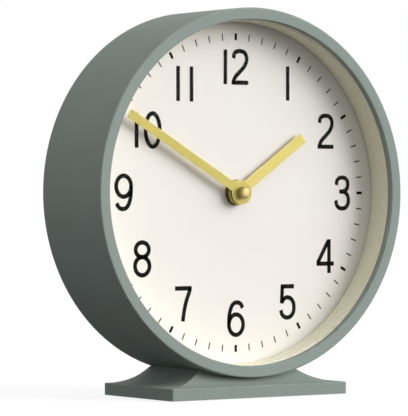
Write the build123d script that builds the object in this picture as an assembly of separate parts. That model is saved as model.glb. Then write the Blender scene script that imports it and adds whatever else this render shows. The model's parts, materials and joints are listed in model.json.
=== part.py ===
from build123d import *

import os
from math import atan2, cos, pi, radians, sin

# Mantel clock: a painted drum case on a coved foot, with a battery quartz movement inside.
# Millimetres. X runs to the right seen from the front, the dial faces -Y and Z is up.
# The origin is the middle of the face that the foot rests on.

# Drum case
DRUM_RADIUS = 90.0
DRUM_DEPTH = 51.4
CASE_WALL = 1.2
FRONT_RING_WIDTH = 5.7
LIP_DEPTH = 2.9
FRONT_EDGE_ROUND = 0.9
EDGE_BREAK = 0.4

# Lens, rehaut and dial, stacked behind the lip
STACK_CLEARANCE = 0.3
GASKET_THICKNESS = 0.5
LENS_THICKNESS = 2.0
LENS_LAP = 0.8
DIAL_SETBACK = 17.35
DIAL_THICKNESS = 0.8
REHAUT_INSET = 0.2
REHAUT_TAPER = 0.25
REHAUT_WALL = 1.2
REHAUT_FLANGE = 1.0

# Foot
FOOT_WIDTH = 104.0
FOOT_DEPTH = 60.0
PLATE_THICKNESS = 5.9
FOOT_RISE = 3.5
SIDE_LEDGE = 0.8
SIDE_COVE_RADIUS = 39.5
FRONT_LEDGE = 1.0
FRONT_COVE_RADIUS = 12.2
REAR_LEDGE = 0.6
REAR_COVE_RADIUS = 3.6
COVE_ANGLE = 50.0
PLATE_CORNER_ROUND = 0.7
PLATE_TOP_ROUND = 0.4
SADDLE_CLEARANCE = 0.05
PAD_THICKNESS = 1.2
PAD_PROUD = 0.3
PAD_MARGIN = 6.0
PAD_ROUND = 5.0

# Screws
FOOT_SCREW_SPACING = 36.0
FOOT_SCREW_SETBACK = 5.0
FOOT_SCREW_RADIUS = 1.5
FOOT_SCREW_HEAD_RADIUS = 3.0
FOOT_SCREW_HEAD_HEIGHT = 2.4
FOOT_SCREW_BITE = 9.0
COVER_SCREW_COUNT = 4
COVER_SCREW_ANGLE = 45.0
COVER_SCREW_RADIUS = 1.25
COVER_SCREW_HEAD_RADIUS = 2.7
COVER_SCREW_HEAD_HEIGHT = 1.8
COVER_SCREW_BITE = 8.0
SCREW_CLEARANCE = 0.25

# Spacer ring and back cover
SPACER_WALL = 2.2
SPACER_FLANGE_WIDTH = 6.0
SPACER_FLANGE_THICKNESS = 1.5
COVER_BOSS_RADIUS = 3.8
COVER_BOSS_LENGTH = 14.0
FOOT_BLOCK_HEIGHT = 15.0
FOOT_BLOCK_MARGIN = 6.0
COVER_THICKNESS = 2.0
COVER_RECESS = 1.2
COVER_RIM_WIDTH = 3.5
COVER_RIM_HEIGHT = 0.6
WELL_MARGIN = 1.6
WELL_FLARE = 6.5
WELL_WALL = 1.8
WELL_OVERLAP = 1.0
WELL_FRONT_ROUND = 4.5
WELL_REAR_ROUND = 9.0

# Cell and movement case
CELL_LENGTH = 50.5
CELL_RADIUS = 7.25
CELL_NUB_RADIUS = 2.75
CELL_NUB_LENGTH = 1.2
CELL_SHOULDER = 0.8
CELL_CLEARANCE = 0.25
CONTACT_ROOM = 1.25
CONTACT_THICKNESS = 0.3
CONTACT_GAP = 0.1
CONTACT_WIDTH = 3.2
LEAF_REACH = 4.5
MOVEMENT_WALL = 1.5
MOVEMENT_ROUND = 3.0
MOVEMENT_ABOVE = 28.0
GEAR_ROOM_BELOW = 10.4
DIVIDER = 1.0
FINGER_NOTCH = 16.0
WASHER_THICKNESS = 0.5
WASHER_SIZE = 40.0

# Gear train
MODULE = 0.2
ADDENDUM = 0.8
DEDENDUM = 1.15
ROOT_SHARE = 0.26
TIP_SHARE = 0.095
WHEEL_THICKNESS = 0.9
WHEEL_GAP = 0.4
PINION_OVERLAP = 0.15
ARBOR_RADIUS = 0.4
PIVOT_DEPTH = 0.8
RUNNING_CLEARANCE = 0.05
CANNON_TEETH, MINUTE_TEETH, MINUTE_PINION_TEETH, HOUR_TEETH = 20, 60, 16, 64
ROTOR_TEETH, FIFTH_TEETH, FIFTH_PINION_TEETH = 12, 60, 10
FOURTH_TEETH, FOURTH_PINION_TEETH = 60, 8
THIRD_TEETH, THIRD_PINION_TEETH, CENTRE_TEETH = 60, 8, 64
MINUTE_BEARING = 0.0
THIRD_BEARING = 125.0
FOURTH_BEARING = 50.0
FIFTH_BEARING = 15.0
ROTOR_BEARING = -30.0
BRIDGE_THICKNESS = 1.2
BRIDGE_RIM = 2.0
POST_RADIUS = 1.5
POST_PEG_RADIUS = 0.8
POST_ROOM = 1.2
THIRD_POST_BEARING = 150.0
FOURTH_POST_BEARING = 105.0
FIFTH_POST_BEARING = 35.0
CENTRE_POST_BEARING = 200.0

# Step motor and circuit
STATOR_THICKNESS = 0.8
STATOR_LIFT = 0.4
STATOR_LEG = 3.0
STATOR_DISC_RADIUS = 5.0
STATOR_SPAN = 15.0
STATOR_REACH = 11.2
MAGNET_RADIUS = 2.9
MAGNET_THICKNESS = 1.2
AIR_GAP = 0.5
CORE_WIDTH = 3.0
BOBBIN_FLANGE_RADIUS = 3.0
BOBBIN_FLANGE = 0.8
BOBBIN_WALL = 0.4
WINDING_RADIUS = 2.8
MOTOR_CLEARANCE = 0.3
BOARD_THICKNESS = 0.8
BOARD_HEIGHT = 19.0
BOARD_POST_RADIUS = 1.2
BOARD_POST_SHARES = (0.15, 0.85)
CHIP_RADIUS = 3.0
CHIP_THICKNESS = 0.9
CRYSTAL_RADIUS = 1.0
CRYSTAL_LENGTH = 6.0

# Bush, hands and knob
MINUTE_ARBOR_RADIUS = 1.5
MINUTE_TIP_RADIUS = 1.15
CENTRE_PIVOT_RADIUS = 0.6
CENTRE_SEAT_RADIUS = 1.2
HOUR_TUBE_WALL = 0.95
BUSH_WALL = 1.35
BUSH_FLANGE_RADIUS = 5.5
BUSH_FLANGE_THICKNESS = 1.0
BUSH_PROUD = 0.2
DIAL_HOLE_CLEARANCE = 0.2
FIXING_WASHER_RADIUS = 6.5
FIXING_WASHER_THICKNESS = 0.3
FIXING_NUT_ACROSS = 10.0
FIXING_NUT_THICKNESS = 1.6
HOUR_HAND_ANGLE = 55.0
HOUR_HAND_LENGTH = 47.8
HOUR_HAND_WIDTH = 5.4
MINUTE_HAND_ANGLE = 300.0
MINUTE_HAND_LENGTH = 75.9
MINUTE_HAND_WIDTH = 4.5
HAND_THICKNESS = 0.5
HAND_HUB_RADIUS = 5.85
HAND_END_ROUND = 0.7
HOUR_HAND_GAP = 0.5
MINUTE_HAND_GAP = 2.0
COLLET_WALL = 1.0
COLLET_LENGTH = 0.8
CAP_NUT_RADIUS = 2.95
CAP_NUT_LENGTH = 3.5
CAP_NUT_ROUND = 1.3
CAP_NUT_WALL = 0.8
KNOB_RADIUS = 7.0
KNOB_HEIGHT = 5.0
KNOB_LIFT = 0.4
KNOB_FLUTES = 24
KNOB_FLUTE_DEPTH = 0.45
KNOB_LAND_START, KNOB_LAND_END, KNOB_FLUTE_FLOOR = -0.3, 0.1, 0.4
KNOB_STEM_RADIUS = 1.1
KNOB_SPIGOT_RADIUS = 0.6

# Two places closer than this are the same
SAME_PLACE = 0.01

# Places worked out from the sizes
CENTRE_HEIGHT = PAD_PROUD + PLATE_THICKNESS + FOOT_RISE + DRUM_RADIUS
FRONT = -DRUM_DEPTH / 2
REAR = DRUM_DEPTH / 2
LIP_RADIUS = DRUM_RADIUS - FRONT_RING_WIDTH
CASE_BORE = DRUM_RADIUS - CASE_WALL
STACK_RADIUS = CASE_BORE - STACK_CLEARANCE
GASKET_FRONT = FRONT + LIP_DEPTH
LENS_FRONT = GASKET_FRONT + GASKET_THICKNESS
LENS_REAR = LENS_FRONT + LENS_THICKNESS
LENS_RADIUS = LIP_RADIUS + LENS_LAP
DIAL_FACE = FRONT + DIAL_SETBACK
DIAL_BACK = DIAL_FACE + DIAL_THICKNESS
COVER_REAR = REAR - COVER_RECESS
COVER_FRONT = COVER_REAR - COVER_THICKNESS

# Movement's layers, from the dial to the back
MOVEMENT_FRONT = DIAL_BACK + WASHER_THICKNESS
GEAR_ROOM_FRONT = MOVEMENT_FRONT + MOVEMENT_WALL
LAYER_PITCH = WHEEL_THICKNESS + WHEEL_GAP
MOTION, SETTING, CENTRE, THIRD, FOURTH, FIFTH = (
    GEAR_ROOM_FRONT + WHEEL_GAP + LAYER_PITCH * layer for layer in range(6))
STATOR_FRONT = FIFTH + WHEEL_THICKNESS + STATOR_LIFT
STATOR_REAR = STATOR_FRONT + STATOR_THICKNESS
MAGNET_FRONT = (STATOR_FRONT + STATOR_REAR - MAGNET_THICKNESS) / 2
CORE_REAR = STATOR_REAR + STATOR_THICKNESS
CORE_MIDDLE = STATOR_REAR + STATOR_THICKNESS / 2
BRIDGE_FRONT = CORE_REAR + WHEEL_GAP
BRIDGE_REAR = BRIDGE_FRONT + BRIDGE_THICKNESS
BACK_FRONT = max(BRIDGE_REAR, CORE_MIDDLE + BOBBIN_FLANGE_RADIUS) + 2 * MOTOR_CLEARANCE
MOVEMENT_REAR = BACK_FRONT + MOVEMENT_WALL

# Movement's outline about the hand arbor
ROOM_HALF = CELL_LENGTH / 2 + CONTACT_ROOM
MOVEMENT_HALF = ROOM_HALF + MOVEMENT_WALL
BAY_TOP = -GEAR_ROOM_BELOW - DIVIDER
CELL_MIDDLE = BAY_TOP - CELL_CLEARANCE - CELL_RADIUS
BAY_BOTTOM = CELL_MIDDLE - CELL_RADIUS - CELL_CLEARANCE
MOVEMENT_BELOW = -(BAY_BOTTOM - MOVEMENT_WALL)
CELL_AXIS = GEAR_ROOM_FRONT + CELL_CLEARANCE + CELL_RADIUS
MOVEMENT_MIDDLE = (MOVEMENT_ABOVE - MOVEMENT_BELOW) / 2
MOVEMENT_TALL = MOVEMENT_ABOVE + MOVEMENT_BELOW

# Round fits on the hand arbor
HOUR_TUBE_BORE = MINUTE_ARBOR_RADIUS + RUNNING_CLEARANCE
HOUR_TUBE_RADIUS = HOUR_TUBE_BORE + HOUR_TUBE_WALL
BUSH_BORE = HOUR_TUBE_RADIUS + RUNNING_CLEARANCE
BUSH_RADIUS = BUSH_BORE + BUSH_WALL
HOUR_COLLET_RADIUS = HOUR_TUBE_RADIUS + COLLET_WALL
MINUTE_COLLET_RADIUS = MINUTE_ARBOR_RADIUS + COLLET_WALL
NUT_FRONT = DIAL_FACE - FIXING_WASHER_THICKNESS - FIXING_NUT_THICKNESS
HOUR_HAND_REAR = NUT_FRONT - HOUR_HAND_GAP
HOUR_HAND_FRONT = HOUR_HAND_REAR - HAND_THICKNESS
MINUTE_HAND_REAR = HOUR_HAND_FRONT - MINUTE_HAND_GAP
MINUTE_HAND_FRONT = MINUTE_HAND_REAR - HAND_THICKNESS

# Face of the clock: X to the right, Z up, drawn about the dial's centre
FACE = Plane(origin=(0, 0, CENTRE_HEIGHT), x_dir=(1, 0, 0), z_dir=(0, -1, 0))


def turned(outline, at=(0.0, 0.0)):
    """A piece turned about a line along Y; the outline is in radius and Y."""
    face = make_face(Polyline(*outline, close=True))
    return Pos(at[0], 0, CENTRE_HEIGHT + at[1]) * revolve(face, Axis.Y)


def ring(inner, outer, front, rear, at=(0.0, 0.0)):
    """A round plate or tube along Y; an inner radius of 0 makes it solid."""
    return turned([(inner, front), (outer, front), (outer, rear), (inner, rear)], at)


def plate(sketch, front, rear):
    """A flat piece cut to a sketch on the clock's face, from one Y to another."""
    return extrude(FACE.offset(-front) * sketch, amount=front - rear)


def block(low, high):
    """A straight block between two corners given as X, Y and height about the dial's centre."""
    size = [top - bottom for bottom, top in zip(low, high)]
    middle = [(top + bottom) / 2 for bottom, top in zip(low, high)]
    return Pos(middle[0], middle[1], CENTRE_HEIGHT + middle[2]) * Box(*size)


def upright(radius, low, high, at):
    """A round rod along Z, from one height above the floor to another."""
    standing = (Align.CENTER, Align.CENTER, Align.MIN)
    return Pos(at[0], at[1], low) * Cylinder(radius, high - low, align=standing)


def step(start, distance, bearing):
    """A point on the face, a distance away from another at a bearing in degrees from +X."""
    turn = radians(bearing)
    return (start[0] + distance * cos(turn), start[1] + distance * sin(turn))


def reach(lead, driven):
    """Distance between the centres of two meshing gears."""
    return MODULE * (lead + driven) / 2


def tip_radius(teeth):
    return MODULE * (teeth / 2 + ADDENDUM)


def toothed(teeth, phase, at):
    """A gear's outline with straight-sided teeth, one of them centred on the phase angle."""
    pitch = 2 * pi / teeth
    tip = tip_radius(teeth)
    root = MODULE * (teeth / 2 - DEDENDUM)
    corners = []
    for tooth in range(teeth):
        for radius, share in ((root, -ROOT_SHARE), (tip, -TIP_SHARE), (tip, TIP_SHARE), (root, ROOT_SHARE)):
            turn = phase + (tooth + share) * pitch
            corners.append((at[0] + radius * cos(turn), at[1] + radius * sin(turn)))
    return make_face(Polyline(*corners, close=True))


def meshed(lead, driven, lead_at, driven_at):
    """Phase that puts a gap of the driven gear on a tooth of its lead, whose own phase is 0."""
    bearing = atan2(driven_at[1] - lead_at[1], driven_at[0] - lead_at[0])
    return bearing + pi - (2 * pi / driven) * (0.5 - lead * bearing / (2 * pi))


# Gear centres on the face
CENTRE_AT = (0.0, 0.0)
MINUTE_AT = step(CENTRE_AT, reach(CANNON_TEETH, MINUTE_TEETH), MINUTE_BEARING)
THIRD_AT = step(CENTRE_AT, reach(THIRD_PINION_TEETH, CENTRE_TEETH), THIRD_BEARING)
FOURTH_AT = step(THIRD_AT, reach(FOURTH_PINION_TEETH, THIRD_TEETH), FOURTH_BEARING)
FIFTH_AT = step(FOURTH_AT, reach(FIFTH_PINION_TEETH, FOURTH_TEETH), FIFTH_BEARING)
ROTOR_AT = step(FIFTH_AT, reach(ROTOR_TEETH, FIFTH_TEETH), ROTOR_BEARING)

# Posts of the train bridge stand just clear of the wheels
POST_AWAY = POST_RADIUS + POST_ROOM
POSTS = [
    step(THIRD_AT, tip_radius(THIRD_TEETH) + POST_AWAY, THIRD_POST_BEARING),
    step(FOURTH_AT, tip_radius(FOURTH_TEETH) + POST_AWAY, FOURTH_POST_BEARING),
    step(FIFTH_AT, tip_radius(FIFTH_TEETH) + POST_AWAY, FIFTH_POST_BEARING),
    step(CENTRE_AT, tip_radius(CENTRE_TEETH) + POST_AWAY, CENTRE_POST_BEARING),
]

# Stator's legs stand either side of the setting knob's stem, under the rotor
STATOR_LEFT = ROTOR_AT[0] - STATOR_REACH
STATOR_RIGHT = STATOR_LEFT + STATOR_SPAN + 2 * STATOR_LEG
LEG_FOOT = -GEAR_ROOM_BELOW + CONTACT_THICKNESS + MOTOR_CLEARANCE
COIL_HEIGHT = LEG_FOOT + BOBBIN_FLANGE_RADIUS
SPOOL_LEFT = STATOR_LEFT + STATOR_LEG + MOTOR_CLEARANCE
SPOOL_RIGHT = STATOR_RIGHT - STATOR_LEG - MOTOR_CLEARANCE
SPOOL_RADIUS = ((CORE_WIDTH / 2) ** 2 + (STATOR_THICKNESS / 2) ** 2) ** 0.5 + BOBBIN_WALL

# Circuit board fills the room beside the posts
BOARD_LEFT = -ROOM_HALF + CONTACT_THICKNESS
BOARD_RIGHT = min(post[0] for post in POSTS) - POST_RADIUS - MOTOR_CLEARANCE
BOARD_BOTTOM = -GEAR_ROOM_BELOW + CONTACT_THICKNESS
BOARD_FRONT = BRIDGE_FRONT - BOARD_THICKNESS
BOARD_MIDDLE = (BOARD_LEFT + BOARD_RIGHT) / 2
BOARD_POSTS = [(BOARD_MIDDLE, BOARD_BOTTOM + share * BOARD_HEIGHT) for share in BOARD_POST_SHARES]

# Contact strips reach back to the circuit board
STRIP_FRONT = BRIDGE_FRONT - CONTACT_WIDTH
STRIP_REAR = BRIDGE_FRONT

# Screws
FOOT_SCREWS = [(side * FOOT_SCREW_SPACING / 2, FOOT_SCREW_SETBACK) for side in (-1, 1)]
FOOT_SCREW_HEAD_FOOT = PAD_PROUD + PLATE_THICKNESS / 2
FOOT_SCREW_SEAT = FOOT_SCREW_HEAD_FOOT + FOOT_SCREW_HEAD_HEIGHT
DRUM_AT_SCREW = CENTRE_HEIGHT - (DRUM_RADIUS ** 2 - (FOOT_SCREW_SPACING / 2) ** 2) ** 0.5
FOOT_SCREW_TOP = DRUM_AT_SCREW + FOOT_SCREW_BITE
COVER_BOSS_CIRCLE = STACK_RADIUS - SPACER_WALL - COVER_BOSS_RADIUS / 2
COVER_SCREW_SEAT = COVER_REAR - COVER_THICKNESS / 2
COVER_SCREWS = [step(CENTRE_AT, COVER_BOSS_CIRCLE, COVER_SCREW_ANGLE + 360 / COVER_SCREW_COUNT * n)
                for n in range(COVER_SCREW_COUNT)]


def case_drum():
    """Sheet drum with its front folded over into a lip that turns back inside."""
    inner_lip = LIP_RADIUS + CASE_WALL
    outline = make_face(Polyline(
        (LIP_RADIUS, FRONT), (DRUM_RADIUS, FRONT), (DRUM_RADIUS, REAR), (CASE_BORE, REAR),
        (CASE_BORE, FRONT + CASE_WALL), (inner_lip, FRONT + CASE_WALL),
        (inner_lip, FRONT + LIP_DEPTH), (LIP_RADIUS, FRONT + LIP_DEPTH), close=True))
    for corner in ((LIP_RADIUS, FRONT, 0), (DRUM_RADIUS, REAR, 0)):
        outline = chamfer(outline.vertices().sort_by_distance(corner)[0], EDGE_BREAK)
    front_corner = outline.vertices().sort_by_distance((DRUM_RADIUS, FRONT, 0))[0]
    outline = fillet(front_corner, FRONT_EDGE_ROUND)
    drum = Pos(0, 0, CENTRE_HEIGHT) * revolve(outline, Axis.Y)
    for place in FOOT_SCREWS:
        drum -= upright(FOOT_SCREW_RADIUS + SCREW_CLEARANCE, 0, CENTRE_HEIGHT / 2, place)
    return drum


def lens_gasket():
    return ring(LIP_RADIUS + REHAUT_INSET, STACK_RADIUS, GASKET_FRONT, LENS_FRONT)


def lens():
    return ring(0, LENS_RADIUS, LENS_FRONT, LENS_REAR)


def rehaut_ring():
    """Channel-section ring, rebated for the lens, whose inner wall narrows a little towards the dial."""
    rebate = LENS_RADIUS + RUNNING_CLEARANCE
    front_radius = LIP_RADIUS - REHAUT_INSET
    rear_radius = front_radius - REHAUT_TAPER
    channel_front, channel_rear = LENS_REAR + REHAUT_FLANGE, DIAL_FACE - REHAUT_FLANGE
    return turned([
        (rebate, LENS_FRONT), (STACK_RADIUS, LENS_FRONT), (STACK_RADIUS, channel_front),
        (front_radius + REHAUT_WALL, channel_front), (rear_radius + REHAUT_WALL, channel_rear),
        (STACK_RADIUS, channel_rear), (STACK_RADIUS, DIAL_FACE), (rear_radius, DIAL_FACE),
        (front_radius, LENS_REAR), (rebate, LENS_REAR)])


def dial():
    return ring(BUSH_RADIUS + DIAL_HOLE_CLEARANCE, STACK_RADIUS, DIAL_FACE, DIAL_BACK)


def spacer_ring():
    """Moulded ring with a flange on the dial, bosses for the cover and a block for the foot's screws."""
    bore = STACK_RADIUS - SPACER_WALL
    body = ring(bore, STACK_RADIUS, DIAL_BACK, COVER_FRONT)
    body += ring(bore - SPACER_FLANGE_WIDTH, STACK_RADIUS, DIAL_BACK, DIAL_BACK + SPACER_FLANGE_THICKNESS)
    for place in COVER_SCREWS:
        body += ring(0, COVER_BOSS_RADIUS, COVER_FRONT - COVER_BOSS_LENGTH, COVER_FRONT, place)
    half = FOOT_SCREW_SPACING / 2 + FOOT_BLOCK_MARGIN
    foot_block = block(
        (-half, FOOT_SCREW_SETBACK - FOOT_BLOCK_MARGIN, -DRUM_RADIUS),
        (half, FOOT_SCREW_SETBACK + FOOT_BLOCK_MARGIN, -STACK_RADIUS + FOOT_BLOCK_HEIGHT))
    body += foot_block & ring(0, STACK_RADIUS, DIAL_BACK, COVER_FRONT)
    for place in COVER_SCREWS:
        pilot = COVER_SCREW_RADIUS + RUNNING_CLEARANCE
        body -= ring(0, pilot, COVER_FRONT - COVER_SCREW_BITE - SCREW_CLEARANCE, COVER_FRONT, place)
    for place in FOOT_SCREWS:
        body -= upright(FOOT_SCREW_RADIUS + RUNNING_CLEARANCE, 0, FOOT_SCREW_TOP + SCREW_CLEARANCE, place)
    return body


def well_section(margin, corner, y):
    """Rounded rectangle round the movement, on the face plane at one Y."""
    wide = 2 * (MOVEMENT_HALF + margin)
    tall = MOVEMENT_TALL + 2 * margin
    return FACE.offset(-y) * (Pos(0, MOVEMENT_MIDDLE) * RectangleRounded(wide, tall, corner))


def back_cover():
    """Disc with a raised rim, counterbored for its screws, and a drafted well down to the movement."""

    def well(wall):
        deep = well_section(WELL_MARGIN + wall, WELL_FRONT_ROUND + wall, MOVEMENT_REAR - WELL_OVERLAP)
        mouth = well_section(WELL_MARGIN + WELL_FLARE + wall, WELL_REAR_ROUND + wall, COVER_REAR)
        return loft([deep, mouth], ruled=True)

    cover = ring(0, STACK_RADIUS, COVER_FRONT, COVER_REAR) + well(WELL_WALL)
    cover += ring(STACK_RADIUS - COVER_RIM_WIDTH, STACK_RADIUS, COVER_FRONT, COVER_REAR + COVER_RIM_HEIGHT)
    cover -= well(0)
    for place in COVER_SCREWS:
        cover -= ring(0, COVER_SCREW_RADIUS + SCREW_CLEARANCE, COVER_FRONT, REAR, place)
        cover -= ring(0, COVER_SCREW_HEAD_RADIUS + SCREW_CLEARANCE, COVER_SCREW_SEAT, REAR, place)
    return cover


def back_cover_screws():
    head_top = COVER_SCREW_SEAT + COVER_SCREW_HEAD_HEIGHT
    return Compound([
        ring(0, COVER_SCREW_RADIUS, COVER_FRONT - COVER_SCREW_BITE, COVER_SCREW_SEAT, place)
        + ring(0, COVER_SCREW_HEAD_RADIUS, COVER_SCREW_SEAT, head_top, place)
        for place in COVER_SCREWS])


def foot_section():
    """Front view of the foot: a plate whose sides rise to the drum in two coves."""
    edge = FOOT_WIDTH / 2
    start = edge - SIDE_LEDGE
    top = PAD_PROUD + PLATE_THICKNESS

    def cove(sweep):
        turn = radians(sweep)
        return (start - SIDE_COVE_RADIUS * sin(turn), top + SIDE_COVE_RADIUS * (1 - cos(turn)))

    def across(point):
        return (-point[0], point[1])

    half, end = cove(COVE_ANGLE / 2), cove(COVE_ANGLE)
    return make_face([
        Polyline(across((start, top)), (-edge, top), (-edge, PAD_PROUD),
                 (edge, PAD_PROUD), (edge, top), (start, top)),
        ThreePointArc((start, top), half, end), Line(end, across(end)),
        ThreePointArc(across(end), across(half), across((start, top)))])


def foot_profile():
    """Side view of the foot: a deep cove in front and a small one flush with the drum's back."""
    edge = FOOT_DEPTH / 2
    top = PAD_PROUD + PLATE_THICKNESS
    crown = top + max(SIDE_COVE_RADIUS, FRONT_COVE_RADIUS, REAR_COVE_RADIUS) + FOOT_RISE
    front_start, rear_start = FRONT_LEDGE - edge, edge - REAR_LEDGE
    front_neck, rear_neck = front_start + FRONT_COVE_RADIUS, rear_start - REAR_COVE_RADIUS
    return make_face([
        Polyline((rear_start, top), (edge, top), (edge, PAD_PROUD), (-edge, PAD_PROUD), (-edge, top),
                 (front_start, top)),
        RadiusArc((front_start, top), (front_neck, top + FRONT_COVE_RADIUS), -FRONT_COVE_RADIUS),
        Polyline((front_neck, top + FRONT_COVE_RADIUS), (front_neck, crown), (rear_neck, crown),
                 (rear_neck, top + REAR_COVE_RADIUS)),
        RadiusArc((rear_neck, top + REAR_COVE_RADIUS), (rear_start, top), -REAR_COVE_RADIUS)])


def foot():
    """Cast foot: front view crossed with side view, saddled for the drum and recessed for its pad."""
    body = extrude(Plane.XZ * foot_section(), amount=FOOT_DEPTH / 2, both=True)
    body &= extrude(Plane.YZ * foot_profile(), amount=FOOT_WIDTH / 2, both=True)
    corners = [edge for edge in body.edges().filter_by(Axis.Z)
               if abs(abs(edge.center().X) - FOOT_WIDTH / 2) < SAME_PLACE]
    body = fillet(corners, PLATE_CORNER_ROUND)
    rim = PAD_PROUD + PLATE_THICKNESS
    top_edges = [edge for edge in body.edges() if abs(edge.center().Z - rim) < SAME_PLACE and (
        abs(abs(edge.center().X) - FOOT_WIDTH / 2) < PLATE_CORNER_ROUND
        or abs(abs(edge.center().Y) - FOOT_DEPTH / 2) < PLATE_CORNER_ROUND / 2)]
    body = fillet(top_edges, PLATE_TOP_ROUND)
    body -= ring(0, DRUM_RADIUS + SADDLE_CLEARANCE, -FOOT_DEPTH, FOOT_DEPTH)
    body -= pad_sheet(PAD_MARGIN - RUNNING_CLEARANCE, PAD_THICKNESS)
    for place in FOOT_SCREWS:
        body -= upright(FOOT_SCREW_RADIUS + SCREW_CLEARANCE, 0, FOOT_SCREW_TOP, place)
        body -= upright(FOOT_SCREW_HEAD_RADIUS + SCREW_CLEARANCE, 0, FOOT_SCREW_SEAT, place)
    return body


def pad_sheet(margin, height):
    outline = RectangleRounded(FOOT_WIDTH - 2 * margin, FOOT_DEPTH - 2 * margin, PAD_ROUND)
    return extrude(outline, amount=height)


def foot_pad():
    return pad_sheet(PAD_MARGIN, PAD_THICKNESS)


def foot_screws():
    return Compound([
        upright(FOOT_SCREW_RADIUS, FOOT_SCREW_SEAT, FOOT_SCREW_TOP, place)
        + upright(FOOT_SCREW_HEAD_RADIUS, FOOT_SCREW_HEAD_FOOT, FOOT_SCREW_SEAT, place)
        for place in FOOT_SCREWS])


def cushion_washer():
    outline = RectangleRounded(WASHER_SIZE, WASHER_SIZE, MOVEMENT_ROUND)
    return plate(outline - Circle(BUSH_RADIUS + DIAL_HOLE_CLEARANCE), DIAL_BACK, MOVEMENT_FRONT)


def threaded_bush():
    """Flanged brass tube that comes out through the dial."""
    return turned([
        (BUSH_BORE, NUT_FRONT - BUSH_PROUD), (BUSH_RADIUS, NUT_FRONT - BUSH_PROUD),
        (BUSH_RADIUS, MOVEMENT_FRONT), (BUSH_FLANGE_RADIUS, MOVEMENT_FRONT),
        (BUSH_FLANGE_RADIUS, MOVEMENT_FRONT + BUSH_FLANGE_THICKNESS),
        (BUSH_RADIUS, MOVEMENT_FRONT + BUSH_FLANGE_THICKNESS),
        (BUSH_RADIUS, GEAR_ROOM_FRONT), (BUSH_BORE, GEAR_ROOM_FRONT)])


def fixing_washer():
    washer_front = DIAL_FACE - FIXING_WASHER_THICKNESS
    return ring(BUSH_RADIUS + DIAL_HOLE_CLEARANCE, FIXING_WASHER_RADIUS, washer_front, DIAL_FACE)


def fixing_nut():
    hexagon = RegularPolygon(FIXING_NUT_ACROSS / 2, 6, major_radius=False)
    outline = hexagon - Circle(BUSH_RADIUS + RUNNING_CLEARANCE)
    return plate(outline, NUT_FRONT, NUT_FRONT + FIXING_NUT_THICKNESS)


def movement_case():
    """Open box: a gear room with posts for the bridge and the motor, over a bay for the cell."""
    outline = Pos(0, MOVEMENT_MIDDLE) * RectangleRounded(2 * MOVEMENT_HALF, MOVEMENT_TALL, MOVEMENT_ROUND)
    body = plate(outline, MOVEMENT_FRONT, MOVEMENT_REAR)
    room_top = MOVEMENT_ABOVE - MOVEMENT_WALL
    body -= block((-ROOM_HALF, GEAR_ROOM_FRONT, -GEAR_ROOM_BELOW), (ROOM_HALF, MOVEMENT_REAR, room_top))
    body -= block((-ROOM_HALF, GEAR_ROOM_FRONT, BAY_BOTTOM), (ROOM_HALF, MOVEMENT_REAR, BAY_TOP))
    body -= block((-MOVEMENT_HALF, BACK_FRONT, BAY_TOP), (MOVEMENT_HALF, MOVEMENT_REAR, MOVEMENT_ABOVE))
    notch = turned([(0, CELL_AXIS), (FINGER_NOTCH / 2, CELL_AXIS), (FINGER_NOTCH / 2, MOVEMENT_REAR),
                    (0, MOVEMENT_REAR)], (0, BAY_BOTTOM - MOVEMENT_WALL))
    body -= notch
    slot_front, slot_rear = STRIP_FRONT - CONTACT_GAP, STRIP_REAR + CONTACT_GAP
    for side in (-1, 1):
        left, right = sorted((side * ROOM_HALF, side * (ROOM_HALF - 2 * CONTACT_THICKNESS)))
        body -= block((left, slot_front, BAY_TOP), (right, slot_rear, -GEAR_ROOM_BELOW))
    flange_seat = MOVEMENT_FRONT + BUSH_FLANGE_THICKNESS
    body -= ring(0, BUSH_RADIUS + RUNNING_CLEARANCE, MOVEMENT_FRONT, GEAR_ROOM_FRONT)
    body -= ring(0, BUSH_FLANGE_RADIUS + RUNNING_CLEARANCE, MOVEMENT_FRONT, flange_seat)
    pivot_floor = GEAR_ROOM_FRONT - PIVOT_DEPTH - RUNNING_CLEARANCE
    for place in (MINUTE_AT, THIRD_AT, FOURTH_AT, FIFTH_AT, ROTOR_AT):
        body -= ring(0, pivot_hole(place), pivot_floor, GEAR_ROOM_FRONT, place)
    for place in POSTS:
        body += ring(0, POST_RADIUS, GEAR_ROOM_FRONT, BRIDGE_FRONT, place)
        body += ring(0, POST_PEG_RADIUS, BRIDGE_FRONT, BRIDGE_REAR + CONTACT_THICKNESS, place)
    for place in stator_feet():
        body += ring(0, STATOR_LEG / 2 - MOTOR_CLEARANCE, GEAR_ROOM_FRONT, STATOR_FRONT, place)
    for place in BOARD_POSTS:
        body += ring(0, BOARD_POST_RADIUS, GEAR_ROOM_FRONT, BOARD_FRONT, place)
    return body


def pivot_hole(place):
    """Radius of the front bearing at one gear centre."""
    return (KNOB_SPIGOT_RADIUS if place == MINUTE_AT else ARBOR_RADIUS) + RUNNING_CLEARANCE


def movement_back():
    """Plate over the gear room, with a collared hole for the setting knob's stem."""
    outline = Pos(0, MOVEMENT_MIDDLE) * RectangleRounded(2 * MOVEMENT_HALF, MOVEMENT_TALL, MOVEMENT_ROUND)
    below = Pos(0, BAY_TOP - MOVEMENT_TALL / 2) * Rectangle(2 * MOVEMENT_HALF, MOVEMENT_TALL)
    stem = Pos(*MINUTE_AT) * Circle(KNOB_STEM_RADIUS + RUNNING_CLEARANCE)
    body = plate(outline - below - stem, BACK_FRONT, MOVEMENT_REAR)
    collar = ring(KNOB_STEM_RADIUS + RUNNING_CLEARANCE, KNOB_STEM_RADIUS + MOVEMENT_WALL,
                  BACK_FRONT, MOVEMENT_REAR + KNOB_LIFT - RUNNING_CLEARANCE, MINUTE_AT)
    return body + collar


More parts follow.
